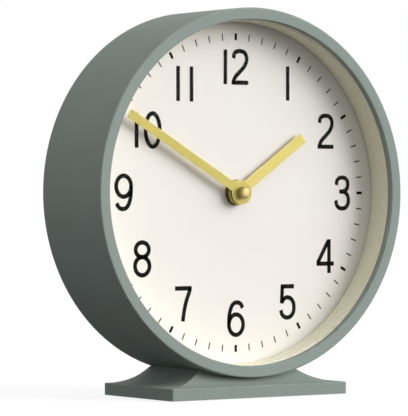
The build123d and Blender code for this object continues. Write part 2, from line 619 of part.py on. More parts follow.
def train_bridge():
    """Plate over the train, wrapped round every pivot and post, with bearing holes."""
    holes = [(CENTRE_AT, CENTRE_PIVOT_RADIUS), (THIRD_AT, ARBOR_RADIUS), (FOURTH_AT, ARBOR_RADIUS),
             (FIFTH_AT, ARBOR_RADIUS), (ROTOR_AT, ARBOR_RADIUS), (MINUTE_AT, KNOB_STEM_RADIUS)]
    holes += [(place, POST_PEG_RADIUS) for place in POSTS]
    rims = [Pos(*place) * Circle(BRIDGE_RIM) for place, radius in holes]
    outline = make_hull([edge for rim in rims for edge in rim.edges()])
    for place, radius in holes:
        outline -= Pos(*place) * Circle(radius + RUNNING_CLEARANCE)
    return plate(outline, BRIDGE_FRONT, BRIDGE_REAR)


def wheel(teeth, phase, at, layer):
    return plate(toothed(teeth, phase, at), layer, layer + WHEEL_THICKNESS)


def pinion(teeth, at, layer, end):
    """Pinion standing a little proud of the wheel that it drives, up to where its own wheel starts."""
    return plate(toothed(teeth, 0, at), layer - PINION_OVERLAP, end)


def arbor(at):
    """Thin arbor from the blind bearing in the case to the bridge's far face."""
    return ring(0, ARBOR_RADIUS, GEAR_ROOM_FRONT - PIVOT_DEPTH, BRIDGE_REAR, at)


def hour_wheel():
    """Wheel and tube in one; the tube runs in the bush and carries the hour hand."""
    phase = meshed(MINUTE_PINION_TEETH, HOUR_TEETH, MINUTE_AT, CENTRE_AT)
    body = wheel(HOUR_TEETH, phase, CENTRE_AT, MOTION)
    body += ring(0, HOUR_TUBE_RADIUS, HOUR_HAND_FRONT - COLLET_LENGTH, MOTION)
    return body - ring(0, HOUR_TUBE_BORE, FRONT, REAR)


def cannon_pinion():
    """Minute arbor: threaded tip, running length, pinion, seat of the centre wheel and rear pivot."""
    body = ring(0, MINUTE_TIP_RADIUS, MINUTE_HAND_FRONT - CAP_NUT_LENGTH + CAP_NUT_WALL, MINUTE_HAND_FRONT)
    body += ring(0, MINUTE_ARBOR_RADIUS, MINUTE_HAND_FRONT, SETTING)
    body += pinion(CANNON_TEETH, CENTRE_AT, SETTING, SETTING + WHEEL_THICKNESS + PINION_OVERLAP)
    body += ring(0, CENTRE_SEAT_RADIUS, SETTING, CENTRE + WHEEL_THICKNESS)
    return body + ring(0, CENTRE_PIVOT_RADIUS, CENTRE, BRIDGE_REAR)


def minute_wheel():
    phase = meshed(CANNON_TEETH, MINUTE_TEETH, CENTRE_AT, MINUTE_AT)
    body = wheel(MINUTE_TEETH, phase, MINUTE_AT, SETTING)
    body += pinion(MINUTE_PINION_TEETH, MINUTE_AT, MOTION, SETTING)
    body += ring(0, KNOB_SPIGOT_RADIUS, GEAR_ROOM_FRONT - PIVOT_DEPTH, MOTION, MINUTE_AT)
    return body - ring(0, KNOB_SPIGOT_RADIUS + RUNNING_CLEARANCE, SETTING, REAR, MINUTE_AT)


def setting_knob():
    """Fluted knob whose stem goes in to the minute wheel."""
    knob_front = MOVEMENT_REAR + KNOB_LIFT
    pitch = 2 * pi / KNOB_FLUTES
    corners = []
    for flute in range(KNOB_FLUTES):
        for radius, share in ((KNOB_RADIUS, KNOB_LAND_START), (KNOB_RADIUS, KNOB_LAND_END),
                              (KNOB_RADIUS - KNOB_FLUTE_DEPTH, KNOB_FLUTE_FLOOR)):
            turn = (flute + share) * pitch
            corners.append((MINUTE_AT[0] + radius * cos(turn), MINUTE_AT[1] + radius * sin(turn)))
    body = plate(make_face(Polyline(*corners, close=True)), knob_front, knob_front + KNOB_HEIGHT)
    body += ring(0, KNOB_STEM_RADIUS, SETTING + WHEEL_THICKNESS, knob_front, MINUTE_AT)
    return body + ring(0, KNOB_SPIGOT_RADIUS, SETTING, SETTING + WHEEL_THICKNESS, MINUTE_AT)


def centre_wheel():
    phase = meshed(THIRD_PINION_TEETH, CENTRE_TEETH, THIRD_AT, CENTRE_AT)
    return wheel(CENTRE_TEETH, phase, CENTRE_AT, CENTRE) - ring(
        0, CENTRE_SEAT_RADIUS + RUNNING_CLEARANCE, FRONT, REAR)


def third_wheel():
    phase = meshed(FOURTH_PINION_TEETH, THIRD_TEETH, FOURTH_AT, THIRD_AT)
    return wheel(THIRD_TEETH, phase, THIRD_AT, THIRD) + pinion(
        THIRD_PINION_TEETH, THIRD_AT, CENTRE, THIRD) + arbor(THIRD_AT)


def fourth_wheel():
    phase = meshed(FIFTH_PINION_TEETH, FOURTH_TEETH, FIFTH_AT, FOURTH_AT)
    return wheel(FOURTH_TEETH, phase, FOURTH_AT, FOURTH) + pinion(
        FOURTH_PINION_TEETH, FOURTH_AT, THIRD, FOURTH) + arbor(FOURTH_AT)


def fifth_wheel():
    phase = meshed(ROTOR_TEETH, FIFTH_TEETH, ROTOR_AT, FIFTH_AT)
    return wheel(FIFTH_TEETH, phase, FIFTH_AT, FIFTH) + pinion(
        FIFTH_PINION_TEETH, FIFTH_AT, FOURTH, FIFTH) + arbor(FIFTH_AT)


def rotor_pinion():
    hub = ring(0, 2 * ARBOR_RADIUS, FIFTH, MAGNET_FRONT + MAGNET_THICKNESS, ROTOR_AT)
    return pinion(ROTOR_TEETH, ROTOR_AT, FIFTH, FIFTH + WHEEL_THICKNESS) + hub + arbor(ROTOR_AT)


def rotor_magnet():
    return ring(2 * ARBOR_RADIUS + RUNNING_CLEARANCE, MAGNET_RADIUS, MAGNET_FRONT,
                MAGNET_FRONT + MAGNET_THICKNESS, ROTOR_AT)


def stator_feet():
    """Where the stator's legs stand on posts of the case."""
    low = LEG_FOOT + STATOR_LEG / 2
    return [(STATOR_LEFT + STATOR_LEG / 2, low), (STATOR_RIGHT - STATOR_LEG / 2, low)]


def stator():
    """U-shaped plate whose bridge widens into a ring round the rotor."""
    wide = STATOR_RIGHT - STATOR_LEFT
    arm_top = ROTOR_AT[1] + STATOR_LEG
    middle = (STATOR_LEFT + STATOR_RIGHT) / 2
    outline = Pos(middle, ROTOR_AT[1]) * Rectangle(wide, 2 * STATOR_LEG)
    for side in (STATOR_LEFT + STATOR_LEG / 2, STATOR_RIGHT - STATOR_LEG / 2):
        outline += Pos(side, (arm_top + LEG_FOOT) / 2) * Rectangle(STATOR_LEG, arm_top - LEG_FOOT)
    outline += Pos(*ROTOR_AT) * Circle(STATOR_DISC_RADIUS)
    outline -= Pos(*ROTOR_AT) * Circle(MAGNET_RADIUS + AIR_GAP)
    return plate(outline, STATOR_FRONT, STATOR_REAR)


def coil_core():
    """Flat bar that closes the magnet circuit across the stator's legs."""
    return block((STATOR_LEFT, STATOR_REAR, COIL_HEIGHT - CORE_WIDTH / 2),
                 (STATOR_RIGHT, CORE_REAR, COIL_HEIGHT + CORE_WIDTH / 2))


def spool(radius, left, right):
    """A round solid along X about the coil's axis."""
    rod = Rot(0, 90, 0) * Cylinder(radius, right - left)
    return Pos((left + right) / 2, CORE_MIDDLE, CENTRE_HEIGHT + COIL_HEIGHT) * rod


def coil_bobbin():
    body = spool(SPOOL_RADIUS, SPOOL_LEFT, SPOOL_RIGHT)
    body += spool(BOBBIN_FLANGE_RADIUS, SPOOL_LEFT, SPOOL_LEFT + BOBBIN_FLANGE)
    body += spool(BOBBIN_FLANGE_RADIUS, SPOOL_RIGHT - BOBBIN_FLANGE, SPOOL_RIGHT)
    return body - coil_core()


def coil_winding():
    inner = (SPOOL_LEFT + BOBBIN_FLANGE, SPOOL_RIGHT - BOBBIN_FLANGE)
    return spool(WINDING_RADIUS, *inner) - spool(SPOOL_RADIUS, *inner)


def circuit_board():
    return block((BOARD_LEFT, BOARD_FRONT, BOARD_BOTTOM),
                 (BOARD_RIGHT, BRIDGE_FRONT, BOARD_BOTTOM + BOARD_HEIGHT))


def circuit_chip():
    return ring(0, CHIP_RADIUS, BRIDGE_FRONT, BRIDGE_FRONT + CHIP_THICKNESS, BOARD_POSTS[0])


def quartz_crystal():
    can = Cylinder(CRYSTAL_RADIUS, CRYSTAL_LENGTH)
    middle = BOARD_BOTTOM + BOARD_HEIGHT / 2 + CHIP_RADIUS
    return Pos(BOARD_MIDDLE, BRIDGE_FRONT + CRYSTAL_RADIUS, CENTRE_HEIGHT + middle) * can


def contact_leaf():
    """Bowed spring on a backing plate, with an upright strip, at the left end of the bay."""
    wall = -ROOM_HALF
    bow = CONTACT_ROOM - CONTACT_THICKNESS - CONTACT_GAP
    near, far = CELL_AXIS - LEAF_REACH, CELL_AXIS + LEAF_REACH
    inner = wall + CONTACT_THICKNESS
    leaf = make_face([
        ThreePointArc((wall, near), (wall + bow, CELL_AXIS), (wall, far)),
        Line((wall, far), (inner, far)),
        ThreePointArc((inner, far), (inner + bow, CELL_AXIS), (inner, near)),
        Line((inner, near), (wall, near))])
    low, high = CELL_MIDDLE - CONTACT_WIDTH, CELL_MIDDLE + CONTACT_WIDTH
    spring = Pos(0, 0, CENTRE_HEIGHT + low) * extrude(leaf, amount=2 * CONTACT_WIDTH)
    backing = block((wall, near, low), (inner, far, high))
    return spring + backing + block((wall, STRIP_FRONT, low), (inner, STRIP_REAR, BOARD_BOTTOM))


def contact_negative():
    tab_top = BOARD_BOTTOM + BOARD_HEIGHT / 4
    tab = block((-ROOM_HALF, STRIP_FRONT, -GEAR_ROOM_BELOW), (BOARD_LEFT, STRIP_REAR, tab_top))
    return contact_leaf() + tab


def contact_positive():
    """Mirror of the other leaf, with a strip along the divider to the circuit board."""
    strip = block((BOARD_MIDDLE, STRIP_FRONT, -GEAR_ROOM_BELOW), (ROOM_HALF, STRIP_REAR, BOARD_BOTTOM))
    return mirror(contact_leaf(), about=Plane.YZ) + strip


def battery():
    """Round cell lying along X, its nub to the right seen from the front."""
    half = CELL_LENGTH / 2
    can_length = CELL_LENGTH - CELL_NUB_LENGTH
    can = Pos(-CELL_NUB_LENGTH / 2, 0, 0) * (Rot(0, 90, 0) * Cylinder(CELL_RADIUS, can_length))
    can = chamfer(can.edges().filter_by(GeomType.CIRCLE), CELL_SHOULDER)
    nub = Rot(0, 90, 0) * Cylinder(CELL_NUB_RADIUS, CELL_NUB_LENGTH)
    can += Pos(half - CELL_NUB_LENGTH / 2, 0, 0) * nub
    return Pos(0, CELL_AXIS, CENTRE_HEIGHT + CELL_MIDDLE) * can


def hand(width, length, angle, bore, front):
    """A straight bar from a round hub, pointing at a clock angle in degrees from twelve."""
    blade = Pos(0, length / 2) * RectangleRounded(width, length, HAND_END_ROUND)
    outline = Rot(0, 0, -angle) * (blade + Circle(HAND_HUB_RADIUS) - Circle(bore))
    return plate(outline, front, front + HAND_THICKNESS)


def hour_hand():
    return hand(HOUR_HAND_WIDTH, HOUR_HAND_LENGTH, HOUR_HAND_ANGLE,
                HOUR_COLLET_RADIUS + RUNNING_CLEARANCE, HOUR_HAND_FRONT)


def hour_hand_collet():
    return ring(HOUR_TUBE_RADIUS + RUNNING_CLEARANCE, HOUR_COLLET_RADIUS,
                HOUR_HAND_FRONT - COLLET_LENGTH, HOUR_HAND_REAR)


def minute_hand():
    return hand(MINUTE_HAND_WIDTH, MINUTE_HAND_LENGTH, MINUTE_HAND_ANGLE,
                MINUTE_COLLET_RADIUS + RUNNING_CLEARANCE, MINUTE_HAND_FRONT)


def minute_hand_collet():
    return ring(MINUTE_ARBOR_RADIUS + RUNNING_CLEARANCE, MINUTE_COLLET_RADIUS,
                MINUTE_HAND_FRONT, MINUTE_HAND_REAR + COLLET_LENGTH)


def hand_nut():
    """Domed cap nut, bored blind for the arbor's tip."""
    tip = MINUTE_HAND_FRONT - CAP_NUT_LENGTH
    cap = ring(0, CAP_NUT_RADIUS, tip, MINUTE_HAND_FRONT)
    rim = cap.edges().filter_by(GeomType.CIRCLE).sort_by(Axis.Y)[0]
    cap = fillet(rim, CAP_NUT_ROUND)
    floor = tip + CAP_NUT_WALL - RUNNING_CLEARANCE
    return cap - ring(0, MINUTE_TIP_RADIUS + RUNNING_CLEARANCE, floor, MINUTE_HAND_FRONT)


PIECES = [
    case_drum, lens_gasket, lens, rehaut_ring, dial, spacer_ring, back_cover, back_cover_screws,
    foot, foot_pad, foot_screws, cushion_washer, threaded_bush, fixing_washer, fixing_nut,
    movement_case, movement_back, train_bridge, hour_wheel, cannon_pinion, minute_wheel, setting_knob,
    centre_wheel, third_wheel, fourth_wheel, fifth_wheel, rotor_pinion, rotor_magnet,
    stator, coil_core, coil_bobbin, coil_winding, circuit_board, circuit_chip, quartz_crystal,
    contact_negative, contact_positive, battery,
    hour_hand, hour_hand_collet, minute_hand, minute_hand_collet, hand_nut,
]

os.makedirs("parts", exist_ok=True)
for piece in PIECES:
    export_step(piece(), f"parts/{piece.__name__}.step")
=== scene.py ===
# %% [markdown]
# # A drum mantel clock
# The clock is a painted steel drum on a cast foot. Its dial sits deep behind a flat glass, and a small
# battery movement turns the hands from behind. The measured solids come in first, as a fixed frame.
# Every piece below is made in metres in that same frame, so nothing has to be fitted afterwards.

# %% Load the frame
import json
from math import atan2, cos, pi, radians, sin, sqrt, tan

import bmesh
import bpy
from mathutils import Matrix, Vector


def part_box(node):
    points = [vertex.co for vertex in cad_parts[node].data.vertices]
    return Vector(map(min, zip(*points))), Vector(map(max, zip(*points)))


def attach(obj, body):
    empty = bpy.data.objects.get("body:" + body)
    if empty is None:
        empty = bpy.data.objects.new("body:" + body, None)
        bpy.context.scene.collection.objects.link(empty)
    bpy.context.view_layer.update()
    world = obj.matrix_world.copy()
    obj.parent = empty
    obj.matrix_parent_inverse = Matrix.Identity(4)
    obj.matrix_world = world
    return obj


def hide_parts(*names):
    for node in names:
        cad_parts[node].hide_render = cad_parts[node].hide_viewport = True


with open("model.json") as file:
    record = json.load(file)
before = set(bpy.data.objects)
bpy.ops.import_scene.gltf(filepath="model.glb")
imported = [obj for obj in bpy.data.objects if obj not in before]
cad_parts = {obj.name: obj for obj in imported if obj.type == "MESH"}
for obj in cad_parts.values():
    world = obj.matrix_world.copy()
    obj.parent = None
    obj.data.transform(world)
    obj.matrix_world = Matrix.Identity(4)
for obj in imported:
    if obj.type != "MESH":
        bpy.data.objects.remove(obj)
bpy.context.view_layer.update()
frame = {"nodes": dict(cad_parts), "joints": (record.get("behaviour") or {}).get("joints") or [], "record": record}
MM = 0.001
pivots = {joint["name"]: joint.get("pos_m") for joint in frame["joints"]}
DIAL_CENTRE = Vector(pivots["minute_hand_turn"])
KNOB_CENTRE = Vector(pivots["setting_turn"])
print("frame:", len(frame["nodes"]), "nodes, dial centre", round(DIAL_CENTRE.z / MM, 2), "mm up")

# %% [markdown]
# ## The camera
# A long lens from the left, level with the dial, shows the drum's side and its whole face. The place,
# the turn and the lens were found by fitting the drum's two circles and the foot's corners.


# %% Camera
def placed(name, data):
    """A new object at the origin of the scene."""
    made = bpy.data.objects.new(name, data)
    bpy.context.scene.collection.objects.link(made)
    return made


CAMERA_PLACE = (-0.8135, -1.1580, 0.0951)
CAMERA_TURN, CAMERA_TILT = 0.6048, 0.0021
CAMERA_LENS, CAMERA_SENSOR = 248.15, 36.0
forward = Vector((sin(CAMERA_TURN) * cos(CAMERA_TILT), cos(CAMERA_TURN) * cos(CAMERA_TILT),
                  -sin(CAMERA_TILT)))
camera = placed("camera", bpy.data.cameras.new("camera"))
camera.data.lens = CAMERA_LENS
camera.data.sensor_width = CAMERA_SENSOR
camera.location = CAMERA_PLACE
camera.rotation_euler = forward.to_track_quat("-Z", "Y").to_euler()
bpy.context.scene.camera = camera
bpy.context.scene.view_settings.view_transform = "Standard"
print("camera: lens", CAMERA_LENS, "mm")

# %% [markdown]
# ## Light, floor and background
# A broad lamp and a smaller one stand in front, to the right and above. The broad one lays the rim's
# soft shade on the dial, the small one gives the hands their shadows, and the drum's left side stays
# dark. A weak sky, paler above, fills the rest. The background is white because the sky and the floor
# show white to the eye, to metal and to glass, and not because of more light.


# %% Node helpers, sky and lamps
def add(tree, kind, inputs=None, **settings):
    """A node with its settings; an input is given a value, or the node or socket that feeds it."""
    made = tree.nodes.new(kind)
    for label, value in settings.items():
        setattr(made, label, value)
    for label, value in (inputs or {}).items():
        if isinstance(value, bpy.types.Node):
            value = value.outputs[0]
        if isinstance(value, bpy.types.NodeSocket):
            tree.links.new(value, made.inputs[label])
        else:
            made.inputs[label].default_value = value
    return made


def maths(tree, operation, *values):
    """The result of one sum on numbers or sockets."""
    return add(tree, "ShaderNodeMath", dict(enumerate(values)), operation=operation).outputs[0]


def ranged(tree, value, low=0.0, high=1.0, new_low=0.0, new_high=1.0):
    """A value carried over from one range to another, and held at its ends."""
    return add(tree, "ShaderNodeMapRange", {
        "Value": value, "From Min": low, "From Max": high, "To Min": new_low, "To Max": new_high}).outputs[0]


def seen_directly(tree):
    """1 for rays from the eye, from a reflection and through glass, and 0 for light that falls on things."""
    ray = add(tree, "ShaderNodeLightPath").outputs
    mirrored = maths(tree, "MAXIMUM", ray["Is Camera Ray"], ray["Is Glossy Ray"])
    either = maths(tree, "MAXIMUM", mirrored, ray["Is Transmission Ray"])
    return maths(tree, "MULTIPLY", either, maths(tree, "LESS_THAN", ray["Diffuse Depth"], 0.5))


WHITE = (1.0, 1.0, 1.0, 1.0)
SKY_LOW, SKY_HIGH = 0.38, 0.92
world = bpy.data.worlds.new("studio")
world.use_nodes = True
bpy.context.scene.world = world
tree = world.node_tree
sky = tree.nodes["Background"]
toward = add(tree, "ShaderNodeSeparateXYZ", {0: add(tree, "ShaderNodeTexCoord").outputs["Generated"]})
fill = ranged(tree, toward.outputs["Z"], new_low=SKY_LOW, new_high=SKY_HIGH)
sky.inputs["Color"].default_value = WHITE
tree.links.new(ranged(tree, seen_directly(tree), new_low=fill), sky.inputs["Strength"])

LAMPS = {"broad_lamp": (46.0, 14.0, 54.0, 2.84), "small_lamp": (37.5, 18.0, 32.0, 0.78)}
for name, (bearing, rise, spread, power) in LAMPS.items():
    lamp = placed(name, bpy.data.lights.new(name, "SUN"))
    lamp.data.energy = power
    lamp.data.angle = radians(spread)
    bearing, rise = radians(bearing), radians(rise)
    source = Vector((sin(bearing) * cos(rise), -cos(bearing) * cos(rise), sin(rise)))
    lamp.rotation_euler = source.to_track_quat("Z", "Y").to_euler()
print("light:", len(LAMPS), "lamps, sky fill from", SKY_LOW, "to", SKY_HIGH)

# %% Floor
FLOOR_HALF, FLOOR_GLOW = 12.0, 0.82
FLOOR_MATT, FLOOR_PALE = (0.12, 0.12, 0.12, 1.0), (0.22, 0.22, 0.22, 1.0)
floor_mesh = bpy.data.meshes.new("floor")
floor_corners = [(x * FLOOR_HALF, y * FLOOR_HALF, 0) for x, y in ((-1, -1), (1, -1), (1, 1), (-1, 1))]
floor_mesh.from_pydata(floor_corners, [], [(0, 1, 2, 3)])
floor = placed("floor", floor_mesh)
paper = bpy.data.materials.new("paper")
paper.use_nodes = True
tree = paper.node_tree
tree.nodes.remove(tree.nodes["Principled BSDF"])
matt = add(tree, "ShaderNodeBsdfDiffuse", {"Color": FLOOR_MATT})
pale = add(tree, "ShaderNodeBsdfDiffuse", {"Color": FLOOR_PALE})
glow = add(tree, "ShaderNodeEmission", {"Color": WHITE, "Strength": FLOOR_GLOW})
bright = add(tree, "ShaderNodeAddShader", {0: pale, 1: glow})
chosen = add(tree, "ShaderNodeMixShader", {0: seen_directly(tree), 1: matt, 2: bright})
tree.links.new(chosen.outputs[0], tree.nodes["Material Output"].inputs["Surface"])
floor_mesh.materials.append(paper)
print("floor:", 2 * FLOOR_HALF, "m wide")

# %% [markdown]
# ## Turning, sawing and joining
# Most of a clock is turned work, so the main helper sweeps an outline of radius and depth round the
# dial's axis. Sharp corners look false, so a second helper rounds each corner of an outline by its own
# radius first. Bars are sawn straight, and pieces are joined or cut with exact booleans.


# %% Outlines
TINY = 1e-9


def spokes(count):
    """Even turns round a circle."""
    return [2 * pi * spoke / count for spoke in range(count)]


def eased(corners, steps=6):
    """An outline of (u, v) or (u, v, radius) corners, with each radius turned into an arc."""
    points = []
    for index, (u, v, *ease) in enumerate(corners):
        here, radius = Vector((u, v)), sum(ease)
        if not radius:
            points.append(here)
            continue
        back = (Vector(corners[index - 1][:2]) - here).normalized()
        ahead = (Vector(corners[(index + 1) % len(corners)][:2]) - here).normalized()
        half = back.angle(ahead) / 2
        middle = here + (back + ahead).normalized() * radius / sin(half)
        start = here + back * radius / tan(half) - middle
        end = here + ahead * radius / tan(half) - middle
        points += [middle + start.lerp(end, step / steps).normalized() * radius for step in range(steps + 1)]
    return points


def rectangle(low_u, low_v, high_u, high_v, corner=0, steps=6):
    """The outline of a rectangle, with its corners rounded where a radius is given."""
    corners = [(low_u, low_v), (high_u, low_v), (high_u, high_v), (low_u, high_v)]
    return eased([(u, v, corner) for u, v in corners], steps) if corner else corners


def turned(outline, steps=240, centre=DIAL_CENTRE, lying=False):
    """A closed outline of (radius, along) swept round a line along Y, or along X when lying."""
    bm = bmesh.new()

    def point(radius, along, turn):
        if lying:
            return (along, centre.y + radius * sin(turn), centre.z - radius * cos(turn))
        return (centre.x + radius * sin(turn), along, centre.z - radius * cos(turn))

    rings = []
    for radius, along in outline:
        if radius < TINY:
            rings.append([bm.verts.new(point(0, along, 0))] * steps)
        else:
            rings.append([bm.verts.new(point(radius, along, turn)) for turn in spokes(steps)])
    for near, far in zip(rings, rings[1:] + rings[:1]):
        for spoke in range(steps):
            following = (spoke + 1) % steps
            corners = dict.fromkeys((near[spoke], near[following], far[following], far[spoke]))
            if len(corners) > 2:
                bm.faces.new(list(corners))
    return bm


def sawn(outline, plane, low, high):
    """A straight bar whose section lies in the XZ, YZ or XY plane."""
    spread = {"XZ": lambda u, v, w: (u, w, v), "YZ": lambda u, v, w: (w, u, v),
              "XY": lambda u, v, w: (u, v, w)}
    bm = bmesh.new()
    ends = [[bm.verts.new(spread[plane](u, v, depth)) for u, v in outline] for depth in (low, high)]
    for end in ends:
        bm.faces.new(end)
    for index in range(len(outline)):
        bm.faces.new((ends[0][index - 1], ends[0][index], ends[1][index], ends[1][index - 1]))
    return bm


# %% Pieces
SHARP = 35.0
WELD = 1e-7


def plain_mesh(made):
    """The object's mesh with its modifiers applied and taken off."""
    made.data = bpy.data.meshes.new_from_object(made.evaluated_get(bpy.context.evaluated_depsgraph_get()))
    made.modifiers.clear()


def shade(made, sharp=SHARP):
    """Smooth shading that breaks at sharp edges; where two faces meet softly, the larger one leads."""
    made.data.polygons.foreach_set("use_smooth", [True] * len(made.data.polygons))
    made.data.set_sharp_from_angle(angle=radians(sharp))
    made.modifiers.new("lead", "WEIGHTED_NORMAL").keep_sharp = True
    plain_mesh(made)


def piece(name, bm, material, sharp=SHARP):
    """An object at the origin, with its faces turned outwards."""
    bmesh.ops.remove_doubles(bm, verts=bm.verts, dist=WELD)
    bmesh.ops.recalc_face_normals(bm, faces=bm.faces)
    mesh = bpy.data.meshes.new(name)
    bm.to_mesh(mesh)
    bm.free()
    mesh.materials.append(material)
    made = placed(name, mesh)
    shade(made, sharp)
    return made


def carved(made, bm, operation="DIFFERENCE", sharp=SHARP):
    """A boolean with a tool that is thrown away; both are cut into triangles, which are truly flat."""
    tool = piece(made.name + "_tool", bm, made.data.materials[0])
    for each in (made, tool):
        each.modifiers.new("flat", "TRIANGULATE")
    cut = made.modifiers.new("cut", "BOOLEAN")
    cut.operation = operation
    cut.solver = "EXACT"
    cut.object = tool
    plain_mesh(made)
    bpy.data.objects.remove(tool)
    shade(made, sharp)


def seat(made, body, slot, *nodes):
    """The piece moves with a body and stands for the nodes that it replaces. The slot argument is not used."""
    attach(made, body)
    if nodes:
        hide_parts(*nodes)
    print(made.name, "has", len(made.data.polygons), "faces and rides on", body)


# %% [markdown]
# ## Finishes
# A finish is never one flat colour. A slow drift moves it between two close tones, and a fine grain
# moves its gloss and raises its surface. The grain can be stretched one way for brushed metal. All
# patterns read the piece's own coordinates in metres, so their scale is the real one.


# %% Finish helper
NOISE_RANGE, SUM_RANGE = (0.3, 0.7), (0.7, 1.3)


def finish(name, pale, deep, roughness, drift=30.0, grain=1200.0, relief=0.02, metallic=0.0, specular=0.3,
           stretch=(1.0, 1.0, 1.0), turn=0.0, gloss_spread=0.06):
    """A surface between two tones whose grain moves its gloss and its relief in millimetres."""
    made = bpy.data.materials.new(name)
    made.use_nodes = True
    tree = made.node_tree
    shader = tree.nodes["Principled BSDF"]
    shader.inputs["Metallic"].default_value = metallic
    shader.inputs["Specular IOR Level"].default_value = specular
    place = add(tree, "ShaderNodeTexCoord").outputs["Object"]
    along = add(tree, "ShaderNodeMapping", {"Vector": place, "Rotation": (0.0, turn, 0.0)})
    along = add(tree, "ShaderNodeMapping", {"Vector": along, "Scale": stretch})
    cloud = add(tree, "ShaderNodeTexNoise", {"Vector": place, "Scale": drift, "Detail": 3.0}).outputs["Fac"]
    fleck = add(tree, "ShaderNodeTexNoise", {"Vector": along, "Scale": grain, "Detail": 2.0}).outputs["Fac"]
    both = maths(tree, "ADD", cloud, fleck)
    tones = add(tree, "ShaderNodeValToRGB", {"Fac": ranged(tree, both, *SUM_RANGE)})
    for stop, colour in zip(tones.color_ramp.elements, (deep, pale)):
        stop.color = (*colour, 1.0)
    gloss = ranged(tree, fleck, *NOISE_RANGE, roughness - gloss_spread, roughness + gloss_spread)
    bump = add(tree, "ShaderNodeBump", {"Height": fleck, "Distance": relief * MM, "Strength": 1.0})
    tree.links.new(tones.outputs["Color"], shader.inputs["Base Color"])
    tree.links.new(gloss, shader.inputs["Roughness"])
    tree.links.new(bump.outputs["Normal"], shader.inputs["Normal"])
    return made


# %% [markdown]
# ## The drum
# The case is a pressed drum. Its front is folded over into a narrow flat ring, and the ring's inner
# edge turns back as a lip that holds the glass. It could be a cylinder with cuts, but one turned outline
# gives every fold its own small radius. The paint is a matt sage with the faint orange peel of a spray gun.

# %% Drum
case_paint = finish("case_paint", (0.276, 0.321, 0.298), (0.251, 0.296, 0.273), 0.75, drift=22.0,
                    grain=700.0, relief=0.012, specular=0.06)
drum_low, drum_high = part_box("case_drum")
DRUM_RADIUS, DRUM_FRONT, DRUM_REAR = drum_high.x, drum_low.y, drum_high.y
FRONT_RING, SHEET = 5.7 * MM, 1.2 * MM
FRONT_FOLD, EDGE = 0.9 * MM, 0.4 * MM
LIP_RADIUS = DRUM_RADIUS - FRONT_RING
LIP_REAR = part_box("lens_gasket")[0].y
drum_outline = eased([
    (LIP_RADIUS, DRUM_FRONT, EDGE), (DRUM_RADIUS, DRUM_FRONT, FRONT_FOLD), (DRUM_RADIUS, DRUM_REAR, EDGE),
    (DRUM_RADIUS - SHEET, DRUM_REAR, EDGE), (DRUM_RADIUS - SHEET, DRUM_FRONT + SHEET),
    (LIP_RADIUS + SHEET, DRUM_FRONT + SHEET), (LIP_RADIUS + SHEET, LIP_REAR), (LIP_RADIUS, LIP_REAR)])
seat(piece("drum_shell", turned(drum_outline, steps=360), case_paint), "case", "case_paint", "case_drum")

# %% [markdown]
# ## The foot
# The foot is a casting: a thin plate whose top sweeps up to the drum in hollow curves, long at the
# sides, tight in front and smallest behind. Seen from the front and from the side it has two plain
# outlines, so it is made as a sculptor roughs it out: one bar sawn to each view, kept only where they
# agree, and then hollowed to seat the drum. The hollows meet in crisp mitres, so even a slight bend
# breaks the smooth shading here.

# %% Foot
# The foot has the drum's sage paint, set a little darker as painted shade for its place under the drum.
foot_paint = finish("foot_paint", (0.262, 0.305, 0.283), (0.238, 0.281, 0.259), 0.75, drift=26.0,
                    grain=700.0, relief=0.014, specular=0.06)
foot_low, foot_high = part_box("foot")
PLATE_THICKNESS, PLATE_EASE, PLATE_CORNER, TRIM = 5.9 * MM, 0.55 * MM, 0.7 * MM, 0.01 * MM
SIDE_LEDGE, SIDE_HOLLOW, SIDE_SWEEP = 0.8 * MM, 39.5 * MM, 50.0
FRONT_LEDGE, FRONT_HOLLOW = 1.0 * MM, 12.2 * MM
REAR_LEDGE, REAR_HOLLOW = 0.6 * MM, 3.6 * MM
QUARTER = 90.0
HOLLOW_STEPS, EASE_STEPS, MITRE = 48, 18, 6.0
SADDLE_FIT, PAD_ROOM, PAD_CORNER = 0.05 * MM, 0.05 * MM, 5.0 * MM
PLATE_TOP = foot_low.z + PLATE_THICKNESS
NECK_TOP = PLATE_TOP + SIDE_HOLLOW


def hollow(start, radius, sweep, way):
    """Points up a hollow that leaves the plate's top level; way is the side that it rises to."""
    turns = [radians(sweep) * step / HOLLOW_STEPS for step in range(HOLLOW_STEPS + 1)]
    return [(start + way * radius * sin(turn), PLATE_TOP + radius * (1 - cos(turn))) for turn in turns]


def foot_outline(low, high, low_hollow, high_hollow):
    """A view of the foot: a plate with an eased top edge, under two hollows that meet the neck."""
    return eased([(low, foot_low.z), (high, foot_low.z), (high, PLATE_TOP, PLATE_EASE), *high_hollow,
                  (high_hollow[-1][0], NECK_TOP), (low_hollow[-1][0], NECK_TOP), *reversed(low_hollow),
                  (low, PLATE_TOP, PLATE_EASE)], EASE_STEPS)


def pad_outline(grow):
    """The pad seen from above, or the recess a little larger than it."""
    return rectangle(pad_low.x - grow, pad_low.y - grow, pad_high.x + grow, pad_high.y + grow, PAD_CORNER)


front_view = foot_outline(
    foot_low.x, foot_high.x, hollow(foot_low.x + SIDE_LEDGE, SIDE_HOLLOW, SIDE_SWEEP, 1),
    hollow(foot_high.x - SIDE_LEDGE, SIDE_HOLLOW, SIDE_SWEEP, -1))
side_view = foot_outline(
    foot_low.y, foot_high.y, hollow(foot_low.y + FRONT_LEDGE, FRONT_HOLLOW, QUARTER, 1),
    hollow(foot_high.y - REAR_LEDGE, REAR_HOLLOW, QUARTER, -1))
plan_low, plan_high = foot_low + Vector.Fill(3, TRIM), foot_high - Vector.Fill(3, TRIM)
plan_view = rectangle(plan_low.x, plan_low.y, plan_high.x, plan_high.y, PLATE_CORNER, EASE_STEPS)
foot = piece("foot_casting", sawn(front_view, "XZ", foot_low.y - SHEET, foot_high.y + SHEET), foot_paint)
carved(foot, sawn(side_view, "YZ", foot_low.x - SHEET, foot_high.x + SHEET), "INTERSECT")
